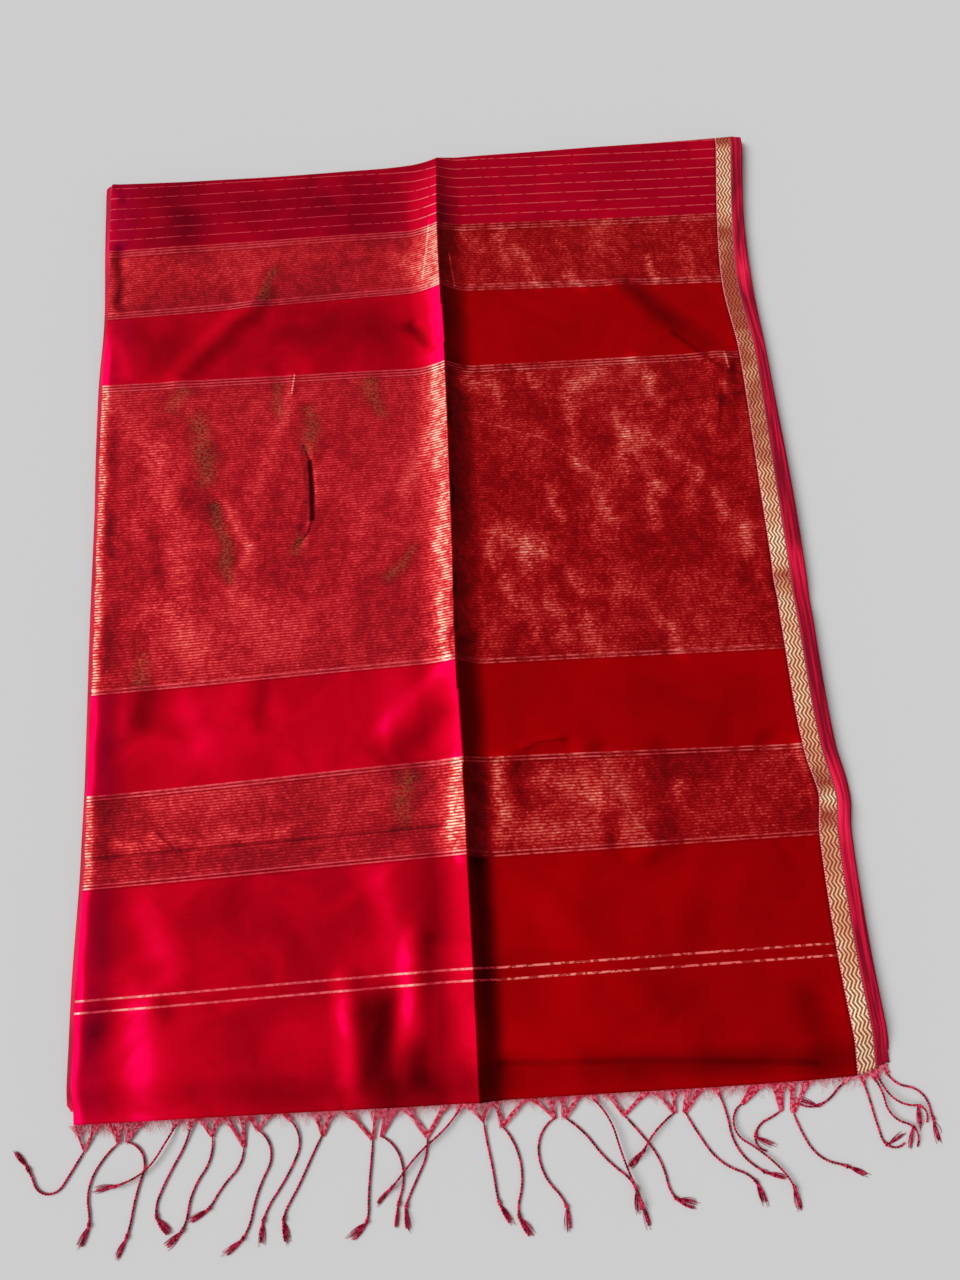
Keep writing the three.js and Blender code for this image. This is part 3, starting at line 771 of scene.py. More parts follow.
def layer_edges(edge, outward):
    """Rings down the side of the stack: each layer a rounded fold, each fold with a reach of its own."""
    rings = []
    walk = np.concatenate([[0], np.cumsum(np.linalg.norm(np.diff(edge[:, :2], axis=0), axis=1))])
    for layer in range(LAYERS):
        wander = np.sin(walk / 190 + 2.3 * layer) + 0.5 * np.sin(walk / 63 + 1.1 * layer)
        base = 0.62 + 0.2 * wander * (layer > 0) + 0.10 * math.sin(4.0 * layer)
        for step in range(LAYER_STEPS):
            if layer == 0 and step == 0:
                continue
            share = (layer + step / LAYER_STEPS) / LAYERS
            bulge = math.sin(math.pi * step / LAYER_STEPS) ** 0.6 if step else 0.0
            groove = 0.45 if 0 < layer else 0.2
            reach = np.clip(base, 0.25, 0.98) * (groove + (1 - groove) * bulge) * min(1.0, 4 * share)
            z = (edge[:, 2] - GROUND) * (1 - share)
            rings.append(np.column_stack([edge[:, :2] + outward * reach[:, None], z]))
    last = rings[-1].copy()
    last[:, 2] = 0
    rings.append(last)
    return rings


def under_layers():
    blocks = [
        columns(nose["start"], nose["end"], np.zeros(5), turns=np.radians(even(5, 90, 18))),
        columns(flat_left["start"], flat_left["end"], even(30)),
        columns(crease, crease, np.zeros(7), shift=-FLANK * even(8, 1, 0)[1:]),
        columns(crease, crease, np.zeros(7), shift=FLANK * even(8)[1:]),
        columns(lambda y: crease(y) + FLANK, border_in, even(28)[1:]),
        columns(border_in, selvedge, even(7)[1:]),
    ]
    top, x, y = cloth_grid(blocks, UNDER_DEPTH, step=4.0, start_at=HEM_STEP)
    shape = top.shape[:2]
    rim = rim_of(shape)
    edge = top.reshape(-1, 3)[rim]
    rings = layer_edges(edge, outward_of(shape))
    count, length = shape[0] * shape[1], len(rim)
    indices = [rim] + [count + i * length + np.arange(length) for i in range(len(rings))]
    walls = [
        np.stack([upper, lower, np.roll(lower, -1), np.roll(upper, -1)], axis=1)
        for upper, lower in zip(indices, indices[1:])
    ]
    place = weft_place(x, y)
    top_uv = np.stack([x, place], axis=2).reshape(-1, 2)
    side_uv = [np.column_stack([edge[:, 0] + edge[:, 1], ring[:, 2]]) for ring in rings]
    points = np.concatenate([top.reshape(-1, 3), *rings])
    piece = mesh_object("under_layers_cloth", points, np.concatenate([quads_of(shape), *walls]),
                        uv=np.concatenate([top_uv, *side_uv]))
    close_underside(piece)
    return piece


def close_underside(piece):
    import bmesh

    shape = bmesh.new()
    shape.from_mesh(piece.data)
    open_edges = [edge for edge in shape.edges if edge.is_boundary]
    bmesh.ops.triangle_fill(shape, edges=open_edges, use_beauty=False, normal=(0, 0, -1))
    shape.to_mesh(piece.data)
    shape.free()


under_cloth = under_layers()

# %% [markdown]
# Materials are node trees. A small helper keeps each recipe short enough to read: it makes a node, fills
# its inputs with numbers or links, and hands back its output.

# %% A small helper for shader nodes


FINISH_INPUTS = {"specular": "Specular IOR Level"}


class Recipe:
    """A material that is written as a recipe of nodes."""

    def __init__(self, name):
        self.material = bpy.data.materials.new(name)
        self.material.use_nodes = True
        self.tree = self.material.node_tree
        self.shader = self.tree.nodes["Principled BSDF"]

    def node(self, kind, inputs=(), output=0, **settings):
        made = self.tree.nodes.new(kind)
        for setting, value in settings.items():
            setattr(made, setting, value)
        for slot, value in dict(inputs).items():
            self.put(made.inputs[slot], value)
        return made.outputs[output]

    def put(self, socket, value):
        if isinstance(value, bpy.types.NodeSocket):
            self.tree.links.new(value, socket)
        elif value is not None:
            socket.default_value = value

    def finish(self, **settings):
        """Sets the shader's inputs, named in lower case, to numbers, colours or links."""
        for setting, value in settings.items():
            self.put(self.shader.inputs[FINISH_INPUTS.get(setting, setting.replace("_", " ").title())], value)

    def math(self, operation, a, b=None, c=None, clamp=False):
        return self.node("ShaderNodeMath", {0: a, 1: b, 2: c}, operation=operation, use_clamp=clamp)

    def step(self, value, low, high, to_low=0.0, to_high=1.0):
        """A soft step: to_low below low, to_high above high."""
        inputs = {"Value": value, "From Min": low, "From Max": high, "To Min": to_low, "To Max": to_high}
        return self.node("ShaderNodeMapRange", inputs, interpolation_type="SMOOTHSTEP")

    def near(self, value, place, half_width):
        return self.math("COMPARE", value, place, half_width)

    def either(self, masks):
        total = masks[0]
        for mask in masks[1:]:
            total = self.math("MAXIMUM", total, mask)
        return total

    def vector(self, x, y, z=0.0):
        return self.node("ShaderNodeCombineXYZ", {"X": x, "Y": y, "Z": z})

    def noise(self, vector, detail=2.0, distortion=0.0, scale=1.0):
        inputs = {"Vector": vector, "Scale": scale, "Detail": detail, "Distortion": distortion}
        return self.node("ShaderNodeTexNoise", inputs)

    def mix(self, factor, a, b, blend="MIX"):
        inputs = {0: factor, 6: a, 7: b}
        return self.node("ShaderNodeMix", inputs, output=2, data_type="RGBA", blend_type=blend)

    def ramp(self, value, *stops):
        """Colours at places from 0 to 1, each stop a place and six digits."""
        made = self.tree.nodes.new("ShaderNodeValToRGB")
        self.put(made.inputs[0], value)
        elements = made.color_ramp.elements
        while len(elements) < len(stops):
            elements.new(0.5)
        for element, (place, code) in zip(elements, stops):
            element.position, element.color = place, colour(code)
        return made.outputs[0]

    def place(self):
        """The point's own place in the packet, in mm, without its height."""
        spot = self.node("ShaderNodeTexCoord", output=3)
        return self.node("ShaderNodeVectorMath", {0: spot, 1: (1000, 1000, 0)}, operation="MULTIPLY")

    def stroke(self, spot, points, half_width):
        """A mask, 1 on the line through the points and 0 a half width away from it."""
        away = None
        for (x0, y0), (x1, y1) in zip(points, points[1:]):
            run, square = (x1 - x0, y1 - y0, 0), (x1 - x0) ** 2 + (y1 - y0) ** 2
            offset = self.node("ShaderNodeVectorMath", {0: spot, 1: (x0, y0, 0)}, operation="SUBTRACT")
            unit = (run[0] / square, run[1] / square, 0)
            share = self.node("ShaderNodeVectorMath", {0: offset, 1: unit}, output=1, operation="DOT_PRODUCT")
            share = self.math("ADD", share, 0.0, clamp=True)
            foot = self.node("ShaderNodeVectorMath", {0: run, "Scale": share}, operation="SCALE")
            gap = self.node("ShaderNodeVectorMath", {0: offset, 1: foot}, output=1, operation="DISTANCE")
            away = gap if away is None else self.math("MINIMUM", away, gap)
        return self.step(away, half_width * 0.2, half_width, 1.0, 0.0)

    def strokes(self, lines):
        """The strongest of several strokes, each with its points, half width and strength."""
        spot, total = self.place(), 0.0
        for points, width, strength in lines:
            stroke = self.math("MULTIPLY", self.stroke(spot, points, width), strength)
            total = self.math("MAXIMUM", total, stroke)
        return total

    def bump(self, height, distance, strength=1.0):
        return self.node("ShaderNodeBump", {"Height": height, "Distance": distance, "Strength": strength})

    def weave(self):
        """Across and along the weaving, in mm."""
        place = self.node("ShaderNodeUVMap", uv_map="weave")
        split = self.tree.nodes.new("ShaderNodeSeparateXYZ")
        self.tree.links.new(place, split.inputs[0])
        return [self.math("MULTIPLY", split.outputs[axis], 1000.0) for axis in (0, 1)]

    def stretched(self, across, along_it, width, length, seed=0.0):
        """Coordinates in which a blot is width by length mm."""
        return self.vector(self.math("DIVIDE", across, width), self.math("DIVIDE", along_it, length), seed)


def colour(code):
    """A colour written as six hexadecimal digits, as the linear values that shaders take."""
    parts = [int(code[i : i + 2], 16) / 255 for i in (0, 2, 4)]
    return (*[part / 12.92 if part <= 0.04045 else ((part + 0.055) / 1.055) ** 2.4 for part in parts], 1)


# %% [markdown]
# The pallu is woven of red silk on a magenta warp, so it is two reds at once. Across it run three bands in
# which the weft is gold thread: from a distance a band is fine bright lines on red, broken where the thread
# dives under the warp, shown more fully where the painted light is strong, and clouded with painted patches
# of reflection. Two or three single gold throws finish each band, two dotted lines cross below, and fine
# broken pin stripes fill the stretch at the top.

# %% Silk and gold bands of the pallu
BANDS = [(-228, -155), (-80, 185), (258, 326)]
EDGE_LINES = [-227.6, -224.9, -158.1, -155.4, -79.6, -76.9, 179.2, 181.9, 184.6, 258.4, 261.0, 263.6,
              320.8, 323.6, 326.3]
DOUBLE_LINES = [-315, -306.5]
FIRST_STRIPE = 336.5
STRIPE_PITCH = 10.0
WEFT_PITCH = 2.3
# Sharp creases, one table of painted shade and one of painted highlights: points, half width and how much
# light each takes or gives
SHADED_CREASES = [
    ([(-117, 119), (-112, 104)], 1.8, 0.3),
    ([(-112, 104), (-110.5, 78), (-111, 52)], 3.2, 0.6),
    ([(-111, 52), (-114, 41), (-121, 32)], 1.7, 0.3),
    ([(-281, -210), (-200, -208), (-110, -206), (-15, -203)], 1.7, 0.13),
    ([(-232, -194), (-217, -209)], 1.8, 0.14),
    ([(23, 161), (110, 155), (165, 151)], 0.8, 0.10),
    ([(150, 136), (240, 142), (278, 145)], 0.9, 0.12),
    ([(49, -150), (60, -145), (78, -144)], 1.8, 0.12),
    ([(244, 167), (238, 140), (234, 112)], 1.8, 0.12),
    ([(205, 205), (243, 168)], 2.6, 0.10),
    ([(20, 30), (120, 36)], 0.7, 0.06),
    ([(13, -371), (120, -376), (238, -386)], 3.5, 0.07),
]
HIGHLIT_CREASES = [
    ([(-123, 187), (-126, 168)], 1.1, 0.4),
    ([(0, 331), (-4, 300), (-9, 272)], 1.3, 0.4),
    ([(26, 134), (85, 112), (128, 76)], 1.1, 0.12),
    ([(247, 182), (249, 168)], 1.8, 0.35),
    ([(16, 296), (19, 262)], 1.0, 0.3),
]
UPPER_SILK = [(0, "260008"), (0.25, "5C0010"), (0.5, "9A001A"), (0.65, "C20026"), (0.8, "E00038"),
              (1, "FF0050")]


def pallu_silk(name, seed, silk, ground, thread, throw, drift, cloudy, grain, steady, green):
    """Silk with gold bands, coloured by the painted light. drift and cloudy: how far the tone wanders in the
    silk, and the painted reflections in the gold. grain: how strong the painted glint specks are. steady: how
    whole the single throws are. green: the share of the painted olive reflections."""
    made = Recipe(name)
    across, weft = made.weave()
    # The painted light of each point, with painted highlights along some creases and painted shade in others
    lit = made.node("ShaderNodeAttribute", attribute_name="lit", output=2)
    lit = made.math("ADD", lit, made.strokes(HIGHLIT_CREASES))
    lit = made.math("SUBTRACT", lit, made.strokes(SHADED_CREASES))

    # The plain silk: coloured by the painted light, with fine slubs along the weft and slow clouds of tone
    slub = made.noise(made.stretched(across, weft, 18, 0.7), detail=3)
    tide = made.noise(made.stretched(across, weft, 42, 48, seed), detail=4, distortion=0.8)
    tone = made.math("ADD", lit, made.step(tide, 0.3, 0.7, -drift, drift))
    tone = made.math("ADD", tone, made.step(slub, 0.3, 0.7, -0.014, 0.014))
    plain = made.mix(made.step(weft, 326, 328), made.ramp(tone, *silk), made.ramp(tone, *UPPER_SILK))
    plain = made.mix(made.step(across, -280, -250, 1.0, 0.0), plain, (0, 0, 0.008, 1), "ADD")

    # Gold wefts: fine lines, of which more shows where the painted light is strong, in specks where it is not
    bent = made.noise(made.stretched(across, weft, 30, 12, seed + 5), detail=2)
    phase = made.math("MULTIPLY", made.math("ADD", weft, bent), 2 * math.pi / WEFT_PITCH)
    line = made.step(made.math("SINE", phase), -0.9, 0.9)
    cloud = made.noise(made.stretched(across, weft, 8, 10, seed), detail=9, distortion=0.8)
    sky = made.noise(made.stretched(across, weft, 60, 75, seed + 9), detail=2, distortion=0.6)
    fleck = made.noise(made.stretched(across, weft, 5, 3.2, seed + 3), detail=3, distortion=0.5)
    fleck = made.step(fleck, 0.42, 0.58, -0.6 * grain, 0.6 * grain)
    above = made.math("MAXIMUM", made.math("SUBTRACT", lit, 0.5), 0.0)
    shine = made.math("MULTIPLY_ADD", above, fleck, lit)
    shine = made.math("ADD", shine, made.step(cloud, 0.38, 0.62, -cloudy, cloudy))
    shine = made.math("ADD", shine, made.step(sky, 0.35, 0.65, -cloudy, cloudy))
    speck = made.noise(made.stretched(across, weft, 2.6, 1.5, 3.0), detail=3)
    shown = made.step(made.math("MULTIPLY_ADD", shine, 1.2, speck), 1.22 - 0.25 / grain, 1.0 + 0.25 / grain)
    woven = made.math("MULTIPLY", line, made.math("MULTIPLY_ADD", shown, 0.75, 0.25))
    # The gold thread's colour is painted glints: the painted light, flecked and specked
    glint = made.math("MULTIPLY_ADD", speck, grain, made.math("SUBTRACT", shine, grain / 2))
    banded = made.mix(woven, made.ramp(shine, *ground), made.ramp(glint, *thread))
    # Painted olive reflections in the gold, in specks where the olive attribute says
    olive = made.node("ShaderNodeAttribute", attribute_name="olive", output=2)
    olive = made.math("MULTIPLY", olive, made.step(speck, 0.42, 0.6, 0.0, green), clamp=True)
    banded = made.mix(olive, banded, colour("8A5838"))

    # Where each is woven
    in_band = made.either([made.near(weft, (a + b) / 2, (b - a) / 2) for a, b in BANDS])
    throws = made.either([made.near(weft, place, 0.5) for place in EDGE_LINES])
    beside = made.either([made.near(weft, place - 1.3, 0.7) for place in EDGE_LINES])
    # The single throws are broken in places along their length
    unbroken = made.step(made.noise(made.stretched(across, weft, 6, 9, 1.0), detail=2), 0.38, 0.62, steady, 0.95)
    throws = made.math("MULTIPLY", throws, unbroken)
    doubles = made.either([made.near(weft, place, 0.75) for place in DOUBLE_LINES])
    dots = made.noise(made.stretched(across, weft, 4.5, 4, 7.0), detail=2)
    dots = made.step(dots, 0.44, 0.54, steady, 0.95)
    doubles = made.math("MULTIPLY", doubles, dots)
    cycle = made.math("PINGPONG", made.math("SUBTRACT", weft, FIRST_STRIPE), STRIPE_PITCH / 2)
    stripe = made.math("LESS_THAN", cycle, 0.36)
    stripe = made.math("MULTIPLY", stripe, made.math("GREATER_THAN", weft, FIRST_STRIPE - STRIPE_PITCH / 2))
    gaps = made.step(made.noise(made.stretched(across, weft, 6, 3, 11.0), detail=1), 0.4, 0.46, 0.12, 0.8)
    stripe = made.math("MULTIPLY", stripe, gaps)

    body = made.mix(in_band, plain, banded)
    body = made.mix(made.math("MULTIPLY", beside, 0.35), body, colour("6A0008"))
    # The single throws and the dotted lines are coloured by the painted light as well
    single = made.ramp(lit, *throw)
    body = made.mix(throws, body, single)
    body = made.mix(doubles, body, made.ramp(made.math("ADD", lit, 0.1), *throw))
    body = made.mix(stripe, body, single)
    made.put(made.shader.inputs["Base Color"], body)

    # Gold is metal: it is the glossier part of the cloth
    metal = made.either([made.math("MULTIPLY", in_band, woven), throws])
    made.put(made.shader.inputs["Metallic"], made.math("MULTIPLY", metal, 0.25))
    made.put(made.shader.inputs["Roughness"], made.math("SUBTRACT", 0.7, made.math("MULTIPLY", metal, 0.22)))
    made.finish(
        specular=0.06, specular_tint=colour("FF5060"), sheen_weight=0.04, sheen_roughness=0.35,
        sheen_tint=colour("FF2060"),
    )
    relief = made.math("ADD", made.math("MULTIPLY", line, in_band), made.math("MULTIPLY", slub, 0.5))
    made.put(made.shader.inputs["Normal"], made.bump(relief, 0.0001, 0.6))
    return made.material


# The two halves are one silk in two copies: the left painted as lit, the right painted as in shade
left_silk = pallu_silk(
    "pallu_silk_bright", 2.0,
    silk=[(0, "300002"), (0.2, "6A0008"), (0.35, "90000F"), (0.45, "A60014"), (0.56, "C2001C"),
          (0.68, "DC002A"), (0.8, "FF0050"), (1, "FF0060")],
    ground=[(0, "300004"), (0.25, "600812"), (0.5, "940C18"), (0.65, "AC1420"), (0.82, "BC2028"),
            (1, "C83838")],
    thread=[(0, "4A080C"), (0.25, "8A1A20"), (0.5, "C8262E"), (0.62, "DA3A40"), (0.75, "E65A54"),
            (0.88, "EC8274"), (1, "FFC6AC")],
    throw=[(0, "70101C"), (0.4, "C83040"), (0.6, "E8606A"), (0.8, "F8A8A0"), (1, "FFE8D0")],
    drift=0.06, cloudy=0.05, grain=0.6, steady=0.45, green=0.55)
right_silk = pallu_silk(
    "pallu_silk_deep", 14.0,
    silk=[(0, "200000"), (0.2, "4C0000"), (0.35, "700002"), (0.5, "920003"), (0.65, "AC0008"),
          (0.85, "C80020")],
    ground=[(0, "240000"), (0.25, "560406"), (0.5, "840408"), (0.65, "940A10"), (0.8, "A2161A"),
            (1, "B43430")],
    thread=[(0, "340404"), (0.25, "6C0C0E"), (0.5, "A4181C"), (0.6, "BC2A2A"), (0.72, "D05046"),
            (0.86, "DC7464"), (1, "ECA08C")],
    throw=[(0, "58080C"), (0.4, "B82C34"), (0.55, "E06060"), (0.85, "F8B8A0")],
    drift=0.03, cloudy=0.055, grain=0.75, steady=0.1, green=0.0)
left_cloth.data.materials.append(left_silk)
right_cloth.data.materials.append(right_silk)

# %% [markdown]
# The border is a narrow ribbon of its own in the loom: four cream zigzags run along it on bronze thread,
# one beside the other, and a line of dots closes it on each side. A zigzag is only a triangle wave: the
# distance of a point from the wave, compared with the thread's width.

# %% The zigzag border
ZIGZAG_PERIOD = 9.4
ZIGZAG_REACH = 2.8
ZIGZAG_PITCH = 3.1
BEAD_PITCH = 2.1
# Painted light and shade: how the border leans to the light along its length, as place in the weaving and
# brightness
BORDER_LIGHT = [(-396, 0.9), (-340, 0.95), (-300, 0.75), (-226, 0.7), (-212, 0.25), (-200, 0.95),
                (-187, 0.25), (-170, 0.7), (-100, 0.85), (-40, 0.9), (-18, 0.25), (-8, 0.95), (40, 0.85),
                (90, 0.6), (185, 0.5), (205, 0.3), (270, 0.25), (310, 0.4), (325, 0.85), (395, 0.9),
                (403, 0.35)]
# Painted light and shade along the selvedge's length, in the same way
SELVEDGE_LIGHT = [(-396, 0.45), (-300, 0.5), (-230, 0.8), (-190, 0.8), (-150, 0.2), (-100, 0.2),
                  (-30, 0.5), (0, 0.75), (20, 0.35), (150, 0.45), (240, 0.5), (270, 0.85), (300, 0.45),
                  (403, 0.4)]


def by_length(made, weft, *stops):
    """A number from 0 to 1 that follows the packet's length through stops of (place in mm, number)."""
    first, last = stops[0][0], stops[-1][0]
    share = made.node("ShaderNodeMapRange", {"Value": weft, "From Min": first, "From Max": last})
    grey = [((place - first) / (last - first), f"{round(255 * level):02X}" * 3) for place, level in stops]
    return made.ramp(share, *grey)


def border_gold():
    made = Recipe("border_gold")
    across, weft = made.weave()
    inside = made.node("ShaderNodeAttribute", attribute_name="inside", output=2)
    warp = made.noise(made.stretched(across, weft, 60, 60), detail=2)
    bent = made.math("ADD", inside, made.math("MULTIPLY", warp, 0.6))
    swing = made.math("PINGPONG", weft, ZIGZAG_PERIOD / 2)
    swing = made.math("MULTIPLY", swing, ZIGZAG_REACH / (ZIGZAG_PERIOD / 2))
    lane = made.math("PINGPONG", made.math("SUBTRACT", bent, swing), ZIGZAG_PITCH / 2)
    zigzag = made.step(lane, 0.45, 0.9, 1.0, 0.0)
    fine = made.noise(made.stretched(across, weft, 1.2, 1.6), detail=2)
    # The border's ground and cream are painted lit and shaded along its length
    lean = by_length(made, weft, *BORDER_LIGHT)
    patch = made.step(made.noise(made.stretched(across, weft, 30, 26, 4.0), detail=2), 0.4, 0.65, -0.15, 0.15)
    lean = made.math("ADD", lean, patch)
    ground = made.mix(made.step(fine, 0.35, 0.65), made.ramp(lean, (0, "6C1814"), (1, "803828")),
                      made.ramp(lean, (0, "983428"), (1, "B4704C")))
    cream = made.ramp(lean, (0, "B4583A"), (0.5, "F4B488"), (1, "FFF4CC"))
    body = made.mix(zigzag, ground, cream)
    edge = made.math("MINIMUM", inside, made.math("SUBTRACT", BORDER_WIDTH, inside))
    beads = made.math("SINE", made.math("MULTIPLY", weft, 2 * math.pi / BEAD_PITCH))
    beads = made.math("GREATER_THAN", beads, -0.2)
    line = made.math("LESS_THAN", edge, 1.0)
    body = made.mix(line, body, made.mix(beads, colour("900020"), colour("F08C90")))
    body = made.mix(made.math("LESS_THAN", edge, 0.25), body, colour("80001C"))
    made.put(made.shader.inputs["Base Color"], body)
    made.put(made.shader.inputs["Metallic"], made.math("MULTIPLY", zigzag, 0.15))
    made.finish(
        roughness=0.5, specular=0.2,
    )
    made.put(made.shader.inputs["Normal"], made.bump(made.math("ADD", zigzag, fine), 0.00015, 0.7))
    return made.material


def store(piece, name, values):
    made = piece.data.attributes.new(name, "FLOAT", "POINT")
    made.data.foreach_set("value", values.astype(np.float32).ravel())


def from_border(piece):
    """How far each point lies from the border's inner side, in mm."""
    places = np.empty(len(piece.data.vertices) * 3, np.float32)
    piece.data.vertices.foreach_get("co", places)
    x, y = places.reshape(-1, 3)[:, 0] / MM, places.reshape(-1, 3)[:, 1] / MM
    return x - border_in(y)


store(border_cloth, "inside", from_border(border_cloth))
border_cloth.data.materials.append(border_gold())

# %% [markdown]
# Outside the border the loom left a plain edge, the selvedge, with its threads packed closer. The layers
# below show the same cloth from its folded side, in bands of lighter and darker red that run along the
# edges, with fine darker specks.

# %% Selvedge and hidden layers


def selvedge_silk():
    made = Recipe("selvedge_silk")
    across, weft = made.weave()
    inside = made.node("ShaderNodeAttribute", attribute_name="inside", output=2)
    threads = made.noise(made.stretched(inside, weft, 0.7, 60), detail=2)
    streaks = made.noise(made.stretched(inside, weft, 2.2, 55, 3.0), detail=3, distortion=0.3)
    # The selvedge's colour follows painted light along its length, with streaks and threads of tone
    lean = by_length(made, weft, *SELVEDGE_LIGHT)
    lean = made.math("ADD", lean, made.step(streaks, 0.35, 0.65, -0.35, 0.3))
    lean = made.math("ADD", lean, made.step(threads, 0.3, 0.7, -0.1, 0.1))
    body = made.ramp(lean, (0, "84001F"), (0.45, "CC0A34"), (1, "FF2858"))
    made.put(made.shader.inputs["Base Color"], body)
    made.finish(roughness=0.55, specular=0.12, sheen_weight=0.06, sheen_tint=colour("FF3A78"))
    made.put(made.shader.inputs["Normal"], made.bump(threads, 0.0002, 0.8))
    return made.material


def body_silk():
    made = Recipe("body_silk")
    across, height = made.weave()
    fine = made.noise(made.stretched(across, height, 3, 0.6), detail=2)
    tide = made.noise(made.stretched(across, height, 60, 3, 2.0), detail=2)
    body = made.mix(made.step(tide, 0.35, 0.65), colour("A8042C"), colour("E01444"))
    body = made.mix(made.math("MULTIPLY", fine, 0.3), body, colour("88001E"))
    made.put(made.shader.inputs["Base Color"], body)
    made.finish(roughness=0.55, specular=0.12, sheen_weight=0.2, sheen_tint=colour("FF3A78"))
    made.put(made.shader.inputs["Normal"], made.bump(fine, 0.0002, 0.8))
    return made.material


store(selvedge_cloth, "inside", from_border(selvedge_cloth))
selvedge_cloth.data.materials.append(selvedge_silk())
under_cloth.data.materials.append(body_silk())

# %% [markdown]
# The fringe is the cloth's own warp. Behind the last weft the threads run on, loose and fine. The weaver
# gathers a few dozen of them at a time, twists two bundles round each other, and ties the end, which opens
# into a small brush. The centre lines come from one table: where the bundles leave the cloth, where they
# meet and how far below the hem, the way that the strand heads at four places along its length, its length,
# and how high it is carried over another strand.

# %% Where the strands lie
STRIP_WIDTH = 3
STRAND_RADIUS = 0.8
FLOOR_GAP = 0.4
SETTLE = 20
GAP = 0.3
CLOTH = 1.3

STRANDS = [
    ([-286, -271], -280, 17, [-33, -34, -158, -135], 74, 0),
    ([-262, -256], -256, 13, [-54, -31, 13, -32], 71, 0),
    ([-249, -240], -250, 13, [78, -21, -9, -30], 80, 0),
    ([-215, -215], -215, 0, [-32, -35, -70, -83], 72, 2.8),
    ([-205, -205], -205, 0, [-13, -33, -24, 54], 78, 0),
    ([-199, -186], -191, 12, [8, -39, -7, -60], 76, 0),
    ([-181, -169], -169, 20, [0, -48, -32, -70], 59, 0),
    ([-164, -151], -159, 10, [59, -31, -12, -60], 88, 0),
    ([-140, -140], -140, 0, [60, -26, -39, -1], 89, 0),
    ([-119, -107], -114, 15, [-31, -27, -34, 18], 72, 0),
    ([-96, -76], -79, 20, [-6, -8, -2, -60], 65, 0),
    ([-69, -62], -73, 18, [64, 16, -20, -8], 63, 0),
    ([-55, -27], -41, 20, [3, -30, -28, 12], 60, 0),
    ([-16, -16], -16, 0, [-36, -56, -42, -48], 84, 2.8),
    ([-10, 3], -1, 12, [5, 10, 5, 34], 67, 0),
    ([9, 29], 12, 17, [42, 10, -20, 44], 74, 0),
    ([35, 47], 49, 14, [-64, 1, 44, -8], 79, 0),
    ([56, 68], 56, 14, [57, 35, 52, -7], 80, 0),
    ([76, 76], 76, 0, [48, 12, 21, 11], 90, 4),
    ([88, 115], 98, 15, [42, 36, 7, 79], 77, 0),
    ([122, 134], 134, 15, [-65, -49, -34, -54], 48, 2.6),
    ([144, 154], 141, 15, [26, 32, 70, 6], 80, 0),
    ([190, 198], 182, 12, [-68, 58, 42, 4], 87, 2.8),
    ([165, 165], 165, 0, [24, 4, 47, 76], 77, 0),
    ([205, 211], 209, 18, [-58, -70, -16, 82], 40, 0),
    ([219, 230], 217, 20, [14, 27, 75, 61], 66, 0),
    ([260, 260], 260, 0, [-70, -43, -73, -120], 43, 0),
    ([268, 268], 268, 0, [20, 8, 11, 134], 60, 0),
    ([275, 275], 275, 0, [37, 4, 74, -31], 60, 2.8),
    ([280, 280], 280, 0, [-4, 42, 88, -19], 53, 5.6),
    ([286, 286], 286, 0, [10, 80, 6, 7], 64, 0),
]


strip_x = even(1200, -HALF_WIDTH - 8, HALF_WIDTH + 8)
strip_z = cloth_top(strip_x, hem(strip_x)) - CLOTH / 2


def strip_height(x):
    return np.interp(x, strip_x, strip_z)


def strip_middle(x):
    return hem(x) - GAP - STRIP_WIDTH / 2


def strand_height(x, y, radius):
    return lerp(strip_height(x), FLOOR_GAP + radius, smooth((hem(x) - y) / SETTLE))


def strand_line(row):
    """Points of a strand's centre line, one for each millimetre."""
    legs, x, drop, heads, length, lift = row
    place = [x, strip_middle(x) if drop == 0 else hem(x) - drop]
    points = []
    for walked in range(length + 1):
        carried = lift * smooth(4 * min(walked, length - walked) / length)
        points.append((place[0], place[1], strand_height(*place, STRAND_RADIUS) + carried))
        along_heads = (walked + 0.5) / length * (len(heads) - 1)
        heading = math.radians(np.interp(along_heads, range(len(heads)), heads))
        place = [place[0] + math.sin(heading), place[1] - math.cos(heading)]
    return np.array(points)


strand_lines = [strand_line(row) for row in STRANDS]
print(len(strand_lines), "strands, the longest", max(row[4] for row in STRANDS), "mm")

# %% [markdown]
# Twisting is a rule, so Geometry Nodes do it: the centre line is copied for each ply, every copy is pushed
# off the line by the ply's radius in a direction that turns as the thread goes on, and a round profile is
# swept along it. One tree serves all strands, because it works on every spline of the curve at once.

# %% A tree that twists plies round a line


def socket(tree, name, kind, value=None):
    made = tree.interface.new_socket(name, in_out="INPUT", socket_type=kind)
    if value is not None:
        made.default_value = value
    return made


def new_tree(name):
    tree = bpy.data.node_groups.new(name, "GeometryNodeTree")
    tree.interface.new_socket("Geometry", in_out="OUTPUT", socket_type="NodeSocketGeometry")
    socket(tree, "Geometry", "NodeSocketGeometry")
    return tree


def add(tree, kind, inputs=(), **settings):
    made = tree.nodes.new(kind)
    for setting, value in settings.items():
        setattr(made, setting, value)
    for slot, value in dict(inputs).items():
        if isinstance(value, bpy.types.NodeSocket):
            tree.links.new(value, made.inputs[slot])
        else:
            made.inputs[slot].default_value = value
    return made


